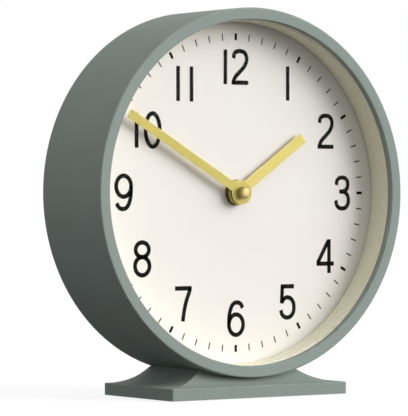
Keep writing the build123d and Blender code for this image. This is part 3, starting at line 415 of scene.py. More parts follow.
carved(foot, sawn(plan_view, "XY", foot_low.z - SHEET, NECK_TOP + SHEET), "INTERSECT")
saddle = rectangle(0, foot_low.y - SHEET, DRUM_RADIUS + SADDLE_FIT, foot_high.y + SHEET)
carved(foot, turned(saddle, steps=720))
pad_low, pad_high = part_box("foot_pad")
carved(foot, sawn(pad_outline(PAD_ROOM), "XY", -SHEET, pad_high.z), sharp=MITRE)
seat(foot, "case", "foot_paint", "foot")

# %% [markdown]
# ## The foam pad under the foot
# A thin black foam sheet is stuck into the foot's recess so that the clock doesn't scratch the shelf.
# It is a rounded sheet whose edge bulges a little and whose surface is full of fine cells.

# %% Foot pad
pad_foam = finish("pad_foam", (0.055, 0.055, 0.056), (0.028, 0.028, 0.029), 0.9, drift=90.0, grain=1800.0,
                  relief=0.08, specular=0.15)
PAD_EASE = 0.28 * MM


def soften(made, width, segments=3, polish_and_highlight=None):
    """Rounds the sharp edges of a piece, with a finish of their own where one is given."""
    edge = made.modifiers.new("edge", "BEVEL")
    if polish_and_highlight:
        made.data.materials.append(polish_and_highlight)
        edge.material = 1
    edge.width = width
    edge.segments = segments
    edge.limit_method = "ANGLE"
    plain_mesh(made)
    shade(made)
    return made


pad = piece("foam_pad", sawn(pad_outline(0), "XY", pad_low.z, pad_high.z), pad_foam)
soften(pad, PAD_EASE, segments=4)
seat(pad, "case", "pad_black", "foot_pad")

# %% [markdown]
# ## Gasket, rehaut and dial
# Behind the lip lie a thin dark seal, a deep cream ring called the rehaut, and the printed dial plate.
# The rehaut is moulded with a smooth bore that holds the glass and with a hollow back that saves plastic.
# Its rear edge stops just short of the dial and draws a fine dark line there. All three are round, so
# each is one outline that is turned about the dial's axis.

# %% Gasket, rehaut and dial
seal = finish("seal", (0.050, 0.050, 0.050), (0.030, 0.030, 0.030), 0.7, grain=900.0, relief=0.02)
cream = finish("rehaut_cream", (0.815, 0.785, 0.610), (0.785, 0.755, 0.585), 0.26, drift=18.0, grain=900.0,
               relief=0.002, specular=0.5, gloss_spread=0.04)
dial_face = finish("dial_face", (0.882, 0.835, 0.797), (0.862, 0.815, 0.775), 0.6, drift=14.0,
                   grain=2600.0, relief=0.006, specular=0.05)
gasket_low, gasket_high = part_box("lens_gasket")
rehaut_low, rehaut_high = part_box("rehaut_ring")
lens_low, lens_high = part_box("lens")
dial_low, dial_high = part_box("dial")
STACK_RADIUS = rehaut_high.x
INSET, TAPER = 0.2 * MM, 0.25 * MM
REHAUT_WALL, REHAUT_FLANGE = 1.2 * MM, 1.0 * MM
DIAL_HOLE, SMALL_EDGE = 4.1 * MM, 0.15 * MM
SHADOW_GAP, GAP_REACH = 0.6 * MM, 1.2 * MM
front_bore = LIP_RADIUS - INSET
rear_bore = front_bore - TAPER

gasket_outline = rectangle(LIP_RADIUS + INSET, gasket_low.y, STACK_RADIUS, gasket_high.y)
seat(piece("seal_ring", turned(gasket_outline), seal), "case", "seal_grey", "lens_gasket")

channel_front, channel_rear = lens_high.y + REHAUT_FLANGE, rehaut_high.y - REHAUT_FLANGE
gap_front, gap_radius = rehaut_high.y - SHADOW_GAP, rear_bore + GAP_REACH
rehaut_outline = eased([
    (front_bore, rehaut_low.y, SMALL_EDGE), (STACK_RADIUS, rehaut_low.y), (STACK_RADIUS, channel_front),
    (front_bore + REHAUT_WALL, channel_front), (rear_bore + REHAUT_WALL, channel_rear),
    (STACK_RADIUS, channel_rear), (STACK_RADIUS, rehaut_high.y), (gap_radius, rehaut_high.y),
    (gap_radius, gap_front), (rear_bore, gap_front, SMALL_EDGE)])
seat(piece("rehaut", turned(rehaut_outline, steps=360), cream), "case", "rehaut_cream", "rehaut_ring")

dial_outline = rectangle(DIAL_HOLE, dial_low.y, STACK_RADIUS, dial_high.y)
seat(piece("dial_plate", turned(dial_outline), dial_face), "case", "dial_print", "dial")

# %% [markdown]
# ## The minute track
# Sixty printed strokes ring the dial, wider at each hour. They repeat by a rule, so a Geometry Nodes
# tree makes them: points on a circle, one flat bar on each, turned to face the centre. One tree with
# named inputs serves both kinds, and its Skip input leaves out the minute bars that fall on an hour.
# The ink is a real layer, thin but with a thickness.


# %% Geometry Nodes helpers
def node_tree(name, **inputs):
    """A Geometry Nodes tree with named number inputs, returned with its first and last nodes."""
    tree = bpy.data.node_groups.new(name, "GeometryNodeTree")
    tree.interface.new_socket("Geometry", in_out="INPUT", socket_type="NodeSocketGeometry")
    for label, value in inputs.items():
        kind = "NodeSocketInt" if isinstance(value, int) else "NodeSocketFloat"
        tree.interface.new_socket(label, in_out="INPUT", socket_type=kind).default_value = value
    tree.interface.new_socket("Geometry", in_out="OUTPUT", socket_type="NodeSocketGeometry")
    return tree, add(tree, "NodeGroupInput"), add(tree, "NodeGroupOutput")


def end_tree(tree, last, geometry, material):
    """Closes a tree with Realize Instances and Set Material."""
    real = add(tree, "GeometryNodeRealizeInstances", {"Geometry": geometry})
    coated = add(tree, "GeometryNodeSetMaterial", {"Geometry": real, "Material": material})
    tree.links.new(coated.outputs[0], last.inputs[0])


def grown(name, tree, source=None, **inputs):
    """A plain mesh object with what a tree makes from a source mesh or curve and its inputs."""
    grower = placed(name + "_grower", source or bpy.data.meshes.new(name))
    growth = grower.modifiers.new("growth", "NODES")
    growth.node_group = tree
    for item in tree.interface.items_tree:
        if item.in_out == "INPUT" and item.name in inputs:
            growth[item.identifier] = inputs[item.name]
    mesh = bpy.data.meshes.new_from_object(grower.evaluated_get(bpy.context.evaluated_depsgraph_get()))
    bpy.data.objects.remove(grower)
    mesh.name = name
    made = placed(name, mesh)
    shade(made)
    return made


def on_dial(tree, geometry):
    """Stands a flat drawing up against the dial, its middle on the dial's axis."""
    return add(tree, "GeometryNodeTransform", {
        "Geometry": geometry, "Translation": (DIAL_CENTRE.x, dial_low.y, DIAL_CENTRE.z),
        "Rotation": (pi / 2, 0.0, 0.0)})


# %% Minute track
ink = finish("ink", (0.014, 0.012, 0.009), (0.010, 0.009, 0.006), 0.8, drift=60.0, grain=2400.0,
             relief=0.004, specular=0.03)
TRACK_OUTER, TRACK_INNER = 78.2 * MM, 74.8 * MM
INK_THICKNESS = 0.10 * MM
MINUTES = {"Count": 60, "Width": 0.60 * MM, "Skip": 0.5}
HOURS = {"Count": 12, "Width": 1.40 * MM, "Skip": -0.5}
TRACK = {"Radius": (TRACK_OUTER + TRACK_INNER) / 2, "Length": TRACK_OUTER - TRACK_INNER,
         "Thickness": INK_THICKNESS}
tree, first, last = node_tree("track", **MINUTES, **TRACK)
size = first.outputs
circle = add(tree, "GeometryNodeMeshCircle", {"Vertices": size["Count"], "Radius": size["Radius"]})
extent = add(tree, "ShaderNodeCombineXYZ", {"X": size["Length"], "Y": size["Width"], "Z": size["Thickness"]})
bar = add(tree, "GeometryNodeMeshCube", {"Size": extent})
index = add(tree, "GeometryNodeInputIndex").outputs[0]
angle = maths(tree, "MULTIPLY", index, maths(tree, "DIVIDE", 2 * pi, size["Count"]))
turn = add(tree, "FunctionNodeAxisAngleToRotation", {"Axis": (0, 0, 1), "Angle": angle})
fifth = maths(tree, "MODULO", index, 5.0)
wanted = add(tree, "FunctionNodeCompare", {"A": fifth, "B": size["Skip"]}, operation="GREATER_THAN")
bars = add(tree, "GeometryNodeInstanceOnPoints", {
    "Points": circle, "Selection": wanted, "Instance": bar, "Rotation": turn})
end_tree(tree, last, on_dial(tree, bars), ink)
minute_marks = grown("minute_marks", tree, **MINUTES, **TRACK)
hour_marks = grown("hour_marks", tree, **HOURS, **TRACK)
seat(minute_marks, "case", "dial_print")
seat(hour_marks, "case", "dial_print")

# %% [markdown]
# ## The numerals
# The numbers are a light, narrow sans face with a plain bar for the one. A text object would bring a
# font of its own, so each figure is drawn as a pen would: a few strokes through a few points. The tree
# sweeps a flat nib along every stroke, which keeps the line one width all round.


# %% Pen strokes
def loop(middle, wide, tall, points=16):
    """Points round an oval, given by its middle height and its half sizes."""
    return [(wide * sin(turn), middle + tall * cos(turn)) for turn in spokes(points)]


SIX_TAIL = [(-4.25, -2.9), (-4.1, 1.0), (-3.4, 4.3), (-1.8, 7.1), (0.4, 7.95), (2.7, 7.2), (3.95, 5.2)]
STROKES = {
    "0": [loop(0.0, 4.1, 8.0)],
    "1": [[(0.0, -8.5), (0.0, 8.5)]],
    "2": [[(-3.9, 4.2), (-3.0, 6.8), (0.1, 7.8), (3.1, 6.7), (4.0, 3.9), (2.8, 0.6), (0.0, -2.3),
           (-2.9, -5.2), (-4.0, -7.7)], [(-5.0, -7.7), (5.0, -7.7)]],
    "3": [[(-3.7, 4.0), (-2.8, 6.7), (0.0, 7.75), (2.8, 6.7), (3.6, 4.4), (2.7, 1.8), (0.6, 0.75),
           (-1.7, 0.7)], [(-0.4, 0.72), (1.2, 0.6), (3.2, -0.9), (4.0, -3.8), (2.9, -6.8), (0.0, -7.8),
                          (-2.9, -6.7), (-4.0, -3.7)]],
    "4": [[(2.35, -8.5), (2.35, 8.5)], [(-5.4, -3.75), (5.4, -3.75)], [(2.0, 7.9), (-4.7, -3.3)]],
    "5": [[(-4.1, 7.7), (4.0, 7.7)], [(-3.15, 8.0), (-3.6, -0.7)],
          [(-3.6, -0.5), (-2.2, 1.5), (0.3, 2.2), (3.0, 0.6), (3.95, -2.7), (2.9, -6.3), (-0.1, -7.8),
           (-3.0, -6.6), (-4.15, -4.1)]],
    "6": [loop(-2.95, 4.25, 5.0), SIX_TAIL],
    "7": [[(-4.9, 7.5), (4.9, 7.5)], [(4.0, 7.4), (3.5, 5.9), (1.6, 1.0), (0.4, -3.9), (-0.35, -8.55)]],
    "8": [loop(4.35, 3.8, 3.5), loop(-3.55, 4.15, 4.35)],
    "9": [loop(2.95, 4.25, 5.0), [(-across, -up) for across, up in SIX_TAIL]],
}
CLOSED = {"0": (0,), "6": (0,), "8": (0, 1), "9": (0,)}
print("strokes for", len(STROKES), "figures")

# %% Numerals
FIGURES = [
    ("1", 31.6, 54.3), ("2", 55.2, 30.85), ("3", 65.6, -0.05), ("4", 55.0, -31.8), ("5", 31.5, -54.25),
    ("6", 0.15, -61.9), ("7", -31.1, -54.0), ("8", -55.0, -31.9), ("9", -65.65, 0.0), ("1", -58.25, 29.9),
    ("0", -49.0, 30.05), ("1", -34.2, 52.8), ("1", -26.35, 52.7), ("1", -6.25, 61.6), ("2", 2.5, 61.75)]
PEN = {"Nib": 2.15 * MM, "Thickness": INK_THICKNESS}
strokes = bpy.data.curves.new("strokes", "CURVE")
strokes.dimensions = "3D"
strokes.twist_mode = "Z_UP"
for figure, right, up in FIGURES:
    for order, points in enumerate(STROKES[figure]):
        path = strokes.splines.new("BEZIER")
        path.bezier_points.add(len(points) - 1)
        path.use_cyclic_u = order in CLOSED.get(figure, ())
        for knot, (across, rise) in zip(path.bezier_points, points):
            knot.co = ((right + across) * MM, (up + rise) * MM, 0.0)
            knot.handle_left_type = knot.handle_right_type = "AUTO"

tree, first, last = node_tree("pen strokes", **PEN)
nib = add(tree, "GeometryNodeCurvePrimitiveQuadrilateral",
          {"Width": first.outputs["Nib"], "Height": first.outputs["Thickness"]})
swept = add(tree, "GeometryNodeCurveToMesh",
            {"Curve": first.outputs["Geometry"], "Profile Curve": nib, "Fill Caps": True})
end_tree(tree, last, on_dial(tree, swept), ink)
seat(grown("numerals", tree, source=strokes, **PEN), "case", "dial_print")

# %% [markdown]
# ## Hands, nut and cap
# A brass nut clamps the movement to the dial. Over it ride two flat gilt bars, each stamped in one
# piece with a round hub, and a domed cap nut holds them on. A hand is a drawn outline, sawn thin and
# bevelled so that its edge catches the light as stamped metal does; the bevel's paler, more metallic
# gilt is partly a polished edge and partly a painted highlight.

# %% Fixing nut, washer and bush
# The brass is dark and olive: partly its own tone, partly painted shade and dark reflection for the stack behind
# the hands.
brass = finish("brass", (0.24, 0.19, 0.06), (0.17, 0.135, 0.04), 0.4, drift=120.0, grain=500.0,
               relief=0.004, metallic=0.5, specular=0.3)
washer_low, washer_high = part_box("fixing_washer")
nut_low, nut_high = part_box("fixing_nut")
bush_low, bush_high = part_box("threaded_bush")
BUSH_RADIUS, BUSH_BORE, BUSH_EASE, BUSH_FLANGE = 3.9 * MM, 2.55 * MM, 0.12 * MM, 1.0 * MM
WASHER_EASE = 0.1 * MM
NUT_FIT, NUT_OVERRUN = 0.05 * MM, 0.1 * MM
NUT_SLOPE, NUT_SHARP = tan(radians(30)), 20.0
washer_outline = eased([
    (DIAL_HOLE, washer_low.y), (washer_high.x, washer_low.y, WASHER_EASE), (washer_high.x, washer_high.y),
    (DIAL_HOLE, washer_high.y)])
seat(piece("nut_washer", turned(washer_outline, steps=96), brass), "case", "brass", "fixing_washer")

nut_radius, nut_flat, nut_bore = nut_high.x, nut_high.z - DIAL_CENTRE.z, BUSH_RADIUS + NUT_FIT
hexagon = [(nut_radius * cos(pi / 3 * side), DIAL_CENTRE.z + nut_radius * sin(pi / 3 * side))
           for side in range(6)]
rim_radius = nut_radius + NUT_OVERRUN
chamfer_outline = [
    (nut_bore, nut_low.y - NUT_OVERRUN), (nut_flat - NUT_OVERRUN / NUT_SLOPE, nut_low.y - NUT_OVERRUN),
    (rim_radius, nut_low.y + (rim_radius - nut_flat) * NUT_SLOPE), (rim_radius, nut_high.y + NUT_OVERRUN),
    (nut_bore, nut_high.y + NUT_OVERRUN)]
nut = piece("movement_nut", sawn(hexagon, "XZ", nut_low.y, nut_high.y), brass)
carved(nut, turned(chamfer_outline, steps=120), "INTERSECT", sharp=NUT_SHARP)
seat(nut, "case", "brass", "fixing_nut")

movement_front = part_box("movement_case")[0].y
flange_rear = movement_front + BUSH_FLANGE
bush_outline = eased([
    (BUSH_BORE, bush_low.y, BUSH_EASE), (BUSH_RADIUS, bush_low.y, BUSH_EASE), (BUSH_RADIUS, movement_front),
    (bush_high.x, movement_front), (bush_high.x, flange_rear), (BUSH_RADIUS, flange_rear),
    (BUSH_RADIUS, bush_high.y), (BUSH_BORE, bush_high.y)])
seat(piece("bush", turned(bush_outline, steps=96), brass), "case", "brass", "threaded_bush")

# %% Hands and collets
HUB_RADIUS, HUB_STEPS = 5.85 * MM, 96
HAND_END, HAND_EASE = 0.7 * MM, 0.14 * MM
COLLET_FIT, COLLET_EASE = 0.05 * MM, 0.1 * MM


def gilt(name, angle, pale, deep):
    """Satin gilt, brushed along a hand that points at a clock angle."""
    return finish(name, pale, deep, 0.6, drift=80.0, grain=2600.0, relief=0.003, metallic=0.2, specular=0.15,
                  stretch=(1.0, 1.0, 0.06), turn=-radians(angle))


def hand_outline(width, length, angle):
    """A bar from a round hub, turned to a clock angle from twelve."""
    root = sqrt(HUB_RADIUS ** 2 - (width / 2) ** 2)
    start = atan2(width / 2, root)
    turns = [start + (2 * pi - 2 * start) * step / HUB_STEPS for step in range(HUB_STEPS + 1)]
    bar = eased([(-width / 2, root), (-width / 2, length, HAND_END), (width / 2, length, HAND_END),
                 (width / 2, root)])[1:-1]
    points = [(HUB_RADIUS * sin(turn), HUB_RADIUS * cos(turn)) for turn in turns] + [(u, v) for u, v in bar]
    right, up = cos(radians(angle)), sin(radians(angle))
    return [(DIAL_CENTRE.x + u * right + v * up, DIAL_CENTRE.z - u * up + v * right) for u, v in points]


def stamped_hand(name, node, body, width, length, angle, bore, coat):
    """A flat hand with eased edges, bored for its collet."""
    low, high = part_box(node)
    made = piece(name, sawn(hand_outline(width, length, angle), "XZ", low.y, high.y), coat)
    soften(made, HAND_EASE, polish_and_highlight=polished_edge_and_highlight)
    carved(made, turned(rectangle(0, low.y - SHEET, bore, high.y + SHEET), steps=96))
    seat(made, body, "gilt", node)


def collet(name, node, body, bore):
    """The brass sleeve that grips a hand's arbor."""
    low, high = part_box(node)
    outline = rectangle(bore, low.y, high.x, high.y, COLLET_EASE, steps=3)
    seat(piece(name, turned(outline, steps=96), brass), body, "brass", node)


HOUR_SIZE, MINUTE_SIZE = (5.4 * MM, 47.8 * MM), (4.5 * MM, 75.9 * MM)
HOUR_COLLET_BORE, MINUTE_COLLET_BORE = 2.55 * MM, 1.55 * MM
HOUR_ANGLE, MINUTE_ANGLE = 55.0, 300.0
# The hands' bevels get a paler, more metallic gilt: partly a polished edge, partly a painted highlight.
polished_edge_and_highlight = finish("polished_edge_and_highlight", (0.66, 0.57, 0.24), (0.58, 0.49, 0.19), 0.4, drift=150.0, grain=900.0,
                   relief=0.002, metallic=0.7, specular=0.3)
# The hour hand's gilt is paler than the minute hand's as painted light: both hands face the same way, and the
# paler tone stands for the light that the hour hand catches.
hour_gilt_painted_light = gilt("hour_gilt_painted_light", HOUR_ANGLE, (0.575, 0.484, 0.146), (0.530, 0.442, 0.128))
minute_gilt = gilt("minute_gilt", MINUTE_ANGLE, (0.470, 0.389, 0.105), (0.432, 0.355, 0.091))
stamped_hand("hour_bar", "hour_hand", "hour", *HOUR_SIZE, HOUR_ANGLE,
             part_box("hour_hand_collet")[1].x + COLLET_FIT, hour_gilt_painted_light)
stamped_hand("minute_bar", "minute_hand", "minute", *MINUTE_SIZE, MINUTE_ANGLE,
             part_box("minute_hand_collet")[1].x + COLLET_FIT, minute_gilt)
collet("hour_collet", "hour_hand_collet", "hour", HOUR_COLLET_BORE)
collet("minute_collet", "minute_hand_collet", "minute", MINUTE_COLLET_BORE)

# %% Cap nut
cap_low, cap_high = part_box("hand_nut")
CAP_BORE, CAP_WALL, CAP_ROUND = 1.2 * MM, 0.75 * MM, 1.3 * MM
cap_inside = cap_low.y + CAP_WALL
cap_outline = eased([
    (0, cap_low.y), (cap_high.x, cap_low.y, CAP_ROUND), (cap_high.x, cap_high.y, SMALL_EDGE),
    (CAP_BORE, cap_high.y), (CAP_BORE, cap_inside), (0, cap_inside)], steps=10)
cap_gilt = finish("cap_gilt", (0.40, 0.31, 0.115), (0.30, 0.23, 0.08), 0.3, drift=150.0, grain=900.0,
                  relief=0.002, metallic=0.35, specular=0.3)
seat(piece("cap_nut", turned(cap_outline, steps=96), cap_gilt), "minute", "brass", "hand_nut")

# %% [markdown]
# ## The glass
# A flat pane lies between the lip and the rehaut. It is a thin turned disc with ground edges. Its
# shader is clear glass for the eye, and lets the lamp and the sky pass straight through, because a
# renderer can't find a lamp behind a surface that bends light. Its index is set low: with a stronger
# one, the lamps' discs showed in the pane with a hard line at the horizon. Faint wiping marks vary
# its gloss.

# %% Lens
CLEAR, PANE_INDEX = (0.985, 0.990, 0.987, 1.0), 1.05
WIPE_TURN, WIPE_STRETCH, WIPE_SCALE = (0.0, 0.5, 0.0), (1.0, 1.0, 0.15), 120.0
WIPE_RANGE, HAZE = (0.5, 0.8), 0.003
lens_glass = bpy.data.materials.new("lens_glass")
lens_glass.use_nodes = True
tree = lens_glass.node_tree
pane = tree.nodes["Principled BSDF"]
for label, value in (("Base Color", CLEAR), ("Transmission Weight", 1.0), ("IOR", PANE_INDEX)):
    pane.inputs[label].default_value = value
place = add(tree, "ShaderNodeTexCoord").outputs["Object"]
wiped = add(tree, "ShaderNodeMapping", {"Vector": place, "Rotation": WIPE_TURN, "Scale": WIPE_STRETCH})
marks = add(tree, "ShaderNodeTexNoise", {"Vector": wiped, "Scale": WIPE_SCALE, "Detail": 4.0}).outputs["Fac"]
tree.links.new(ranged(tree, marks, *WIPE_RANGE, 0.0, HAZE), pane.inputs["Roughness"])
ray = add(tree, "ShaderNodeLightPath").outputs
clear = add(tree, "ShaderNodeBsdfTransparent", {"Color": CLEAR})
for_sky = add(tree, "ShaderNodeMixShader", {0: ray["Is Diffuse Ray"], 1: pane, 2: clear})
for_lamp = add(tree, "ShaderNodeMixShader", {0: ray["Is Shadow Ray"], 1: for_sky, 2: clear})
tree.links.new(for_lamp.outputs[0], tree.nodes["Material Output"].inputs["Surface"])
lens_outline = eased([
    (0, lens_low.y), (rear_bore, lens_low.y, SMALL_EDGE), (rear_bore, lens_high.y, SMALL_EDGE),
    (0, lens_high.y)], steps=3)
seat(piece("lens_pane", turned(lens_outline), lens_glass), "case", "lens_glass", "lens")

# %% [markdown]
# ## The back cover
# The back is closed by a black moulded cover with a raised rim. A square well with rounded corners
# leads in to the movement, so that the cell and the setting knob can be reached. The cover is skinned
# over a row of loops that all have the same number of points, and the loops change from circles to
# rounded squares on the way. That gives even faces where a boolean would leave long slivers. Only
# the four screw holes are drilled afterwards.

# %% Back cover
cover_black = finish("cover_black", (0.042, 0.042, 0.044), (0.030, 0.030, 0.032), 0.55, drift=40.0,
                     grain=1500.0, relief=0.035, specular=0.35)
LOOP_POINTS, COVER_SHARP = 360, 30.0
cover_low, cover_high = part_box("back_cover")
movement_low, movement_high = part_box("movement_case")
RIM_WIDTH, RIM_HEIGHT, RIM_EASE = 3.5 * MM, 0.6 * MM, 0.25 * MM
COVER_THICKNESS = 2.0 * MM
WELL_WALL, WELL_MARGIN, WELL_FLARE = 1.8 * MM, 1.6 * MM, 6.5 * MM
WELL_CORNER, MOUTH_CORNER = 4.5 * MM, 9.0 * MM
MOUTH_EASE, MOUTH_STEPS, MOUTH_STEP = 0.8 * MM, 6, 15
cover_rear = cover_high.y - RIM_HEIGHT
cover_front = cover_rear - COVER_THICKNESS
well_middle = (movement_low.z + movement_high.z) / 2
well_depth = cover_rear - cover_low.y


def round_loop(radius, along):
    """Points round the dial's axis."""
    return [(DIAL_CENTRE.x + radius * sin(turn), along, DIAL_CENTRE.z + radius * cos(turn))
            for turn in spokes(LOOP_POINTS)]


def well_loop(grow, along):
    """Points round the well at a depth, on its inner wall or a margin outside it."""
    share = (along - cover_low.y) / well_depth
    margin = WELL_MARGIN + WELL_FLARE * share + grow
    corner = WELL_CORNER + (MOUTH_CORNER - WELL_CORNER) * share + grow
    wide, tall = movement_high.x + margin, (movement_high.z - movement_low.z) / 2 + margin
    points = []
    for turn in spokes(LOOP_POINTS):
        across, rise = sin(turn), cos(turn)
        reach = min(wide / max(abs(across), TINY), tall / max(abs(rise), TINY))
        over_x, over_z = abs(across) * reach - (wide - corner), abs(rise) * reach - (tall - corner)
        if over_x > 0 and over_z > 0:
            middle = abs(across) * (wide - corner) + abs(rise) * (tall - corner)
            reach = middle + sqrt(middle ** 2 - (wide - corner) ** 2 - (tall - corner) ** 2 + corner ** 2)
        points.append((across * reach, along, well_middle + rise * reach))
    return points


mouth = [well_loop(MOUTH_EASE * (1 - sin(turn)), cover_rear - MOUTH_EASE * (1 - cos(turn)))
         for turn in (radians(MOUTH_STEP * step) for step in range(MOUTH_STEPS))]
rim_inner = cover_high.x - RIM_WIDTH
loops = [
    round_loop(cover_high.x, cover_front), round_loop(cover_high.x, cover_high.y - RIM_EASE),
    round_loop(cover_high.x - RIM_EASE, cover_high.y), round_loop(rim_inner + RIM_EASE, cover_high.y),
    round_loop(rim_inner, cover_high.y - RIM_EASE), round_loop(rim_inner, cover_rear), *mouth,
    well_loop(0, cover_low.y), well_loop(WELL_WALL, cover_low.y), well_loop(WELL_WALL, cover_front)]
bm = bmesh.new()
rows = [[bm.verts.new(point) for point in points] for points in loops]
for row, following in zip(rows, rows[1:] + rows[:1]):
    for step in range(LOOP_POINTS):
        bm.faces.new((row[step - 1], row[step], following[step], following[step - 1]))
cover = piece("cover", bm, cover_black, sharp=COVER_SHARP)
print("cover:", len(loops), "loops of", LOOP_POINTS, "points")

# %% Screw holes in the cover
screws_low, screws_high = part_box("back_cover_screws")
SCREW_HEAD, SCREW_SHANK, SCREW_HEAD_HEIGHT, SCREW_ROOM = 2.7 * MM, 1.25 * MM, 1.8 * MM, 0.25 * MM
screw_seat = screws_high.y - SCREW_HEAD_HEIGHT
screw_circle = (screws_high.x - SCREW_HEAD) * sqrt(2)
shank_hole, head_hole = SCREW_SHANK + SCREW_ROOM, SCREW_HEAD + SCREW_ROOM
sink = [(0, cover_front - SHEET), (shank_hole, cover_front - SHEET), (shank_hole, screw_seat),
        (head_hole, screw_seat), (head_hole, cover_high.y + SHEET), (0, cover_high.y + SHEET)]
for turn in (pi / 4 + pi / 2 * corner for corner in range(4)):
    spot = Vector((screw_circle * sin(turn), 0, DIAL_CENTRE.z + screw_circle * cos(turn)))
    carved(cover, turned(sink, steps=64, centre=spot), sharp=COVER_SHARP)
seat(cover, "case", "cover_black", "back_cover")

# %% [markdown]
# ## The cover's screws
# Four zinc-plated screws with pan heads and a cross recess hold the cover. One screw is turned, and
# two crossed blades cut its recess. A tree then sets a copy at each place round the circle and turns
# each by its own seeded angle, since no two screws stop at the same turn.

# %% Cover screws
zinc = finish("zinc", (0.60, 0.60, 0.59), (0.48, 0.48, 0.48), 0.35, drift=300.0, grain=1600.0, relief=0.003,
              metallic=1.0, specular=0.5)
SCREW_POINT, HEAD_FLAT, HEAD_DROP = 0.6, 0.55, 0.5 * MM
HEAD_EASES = (0.1 * MM, 0.4 * MM, 0.8 * MM)
RECESS_LENGTH, RECESS_WIDTH, RECESS_DEPTH = 1.55 * MM, 0.36 * MM, 1.0 * MM
screw_outline = eased([
    (0, screws_low.y), (SCREW_SHANK * SCREW_POINT, screws_low.y), (SCREW_SHANK, screws_low.y + SCREW_SHANK),
    (SCREW_SHANK, screw_seat), (SCREW_HEAD, screw_seat, HEAD_EASES[0]),
    (SCREW_HEAD, screws_high.y - HEAD_DROP, HEAD_EASES[1]),
    (SCREW_HEAD * HEAD_FLAT, screws_high.y, HEAD_EASES[2]), (0, screws_high.y)], steps=5)
screw = piece("screw", turned(screw_outline, steps=40, centre=Vector((0, 0, 0))), zinc)
for u, v in ((RECESS_LENGTH, RECESS_WIDTH), (RECESS_WIDTH, RECESS_LENGTH)):
    carved(screw, sawn(rectangle(-u, -v, u, v), "XZ", screws_high.y - RECESS_DEPTH, screws_high.y + SHEET))

SCREWS = {"Count": 4, "Radius": screw_circle, "Seed": 7}
tree, first, last = node_tree("screws round the cover", **SCREWS)
size = first.outputs
circle = add(tree, "GeometryNodeMeshCircle", {"Vertices": size["Count"], "Radius": size["Radius"]})
upright = add(tree, "GeometryNodeTransform", {
    "Geometry": circle, "Rotation": (pi / 2, pi / 4, 0.0), "Translation": tuple(DIAL_CENTRE)})
stop = add(tree, "FunctionNodeRandomValue", {"Seed": size["Seed"]}, data_type="FLOAT")
stop.inputs[3].default_value = pi  # the largest turn
turn = add(tree, "FunctionNodeAxisAngleToRotation", {"Axis": (0, 1, 0), "Angle": stop.outputs[1]})
copies = add(tree, "GeometryNodeInstanceOnPoints", {
    "Points": upright, "Instance": size["Geometry"], "Rotation": turn})
end_tree(tree, last, copies, zinc)
cover_screws = grown("cover_screws", tree, source=screw.data, **SCREWS)
bpy.data.objects.remove(screw)
seat(cover_screws, "case", "screw_steel", "back_cover_screws")

# %% [markdown]
# ## The movement's back
# Inside the well, a black moulded plate closes the gear room, and the cell lies in an open bay below
# it. The plate has a collar for the setting knob's stem, a raised arc with an arrow head that shows
# which way the knob sets the hands, and a plus and a minus over the ends of the bay. The raised signs
# are rolled with grey ink, so that they can be read in the shade of the well.

# %% Movement back
moulding = finish("moulding", (0.070, 0.070, 0.072), (0.048, 0.048, 0.050), 0.48, drift=60.0, grain=1600.0,
                  relief=0.02, specular=0.4)
back_low, back_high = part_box("movement_back")
BACK_CORNER, BACK_THICKNESS, BACK_EASE = 3.0 * MM, 1.5 * MM, 0.25 * MM
STEM_HOLE, COLLAR_RADIUS = 1.15 * MM, 2.6 * MM
back_rear, collar_root = back_low.y + BACK_THICKNESS, back_low.y + SMALL_EDGE
back_outline = eased([
    (back_low.x, back_low.z), (back_high.x, back_low.z), (back_high.x, back_high.z, BACK_CORNER),
    (back_low.x, back_high.z, BACK_CORNER)])
plate = soften(piece("gear_cover", sawn(back_outline, "XZ", back_low.y, back_rear), moulding), BACK_EASE)
collar_outline = eased([(0, collar_root), (COLLAR_RADIUS, collar_root),
                        (COLLAR_RADIUS, back_high.y, SMALL_EDGE), (0, back_high.y)], steps=3)
carved(plate, turned(collar_outline, steps=64, centre=KNOB_CENTRE), "UNION")
stem_hole = rectangle(0, back_low.y - SHEET, STEM_HOLE, back_high.y + SHEET)
carved(plate, turned(stem_hole, steps=48, centre=KNOB_CENTRE))
seat(plate, "case", "movement_black", "movement_back")

# %% Signs
sign_grey = finish("sign_grey", (0.46, 0.46, 0.45), (0.34, 0.34, 0.33), 0.6, drift=400.0, grain=2600.0,
                   relief=0.01, specular=0.2)
SIGN_HEIGHT, SIGN_HALF, SIGN_LINE = 0.25 * MM, 1.9 * MM, 0.4 * MM
SIGN_UP, SIGN_IN = 4.0 * MM, 5.0 * MM
ARC_RADIUS, ARC_WIDTH, ARC_HEAD = 10.5 * MM, 0.45 * MM, 1.6 * MM
ARC_START, ARC_END, ARC_POINT, ARC_STEPS = 35.0, 130.0, 14.0, 24
sign_low, sign_high = back_rear - SIGN_HEIGHT / 2, back_rear + SIGN_HEIGHT
sign_rise, sign_side = back_low.z + SIGN_UP, back_high.x - SIGN_IN


def sign_bar(across, half_wide, half_tall):
    """A small raised bar over one end of the bay."""
    outline = rectangle(across - half_wide, sign_rise - half_tall, across + half_wide, sign_rise + half_tall)
    return sawn(outline, "XZ", sign_low, sign_high)


def on_arc(radius, degrees):
    """A point on a circle round the knob."""
    return (KNOB_CENTRE.x + radius * cos(radians(degrees)), KNOB_CENTRE.z + radius * sin(radians(degrees)))


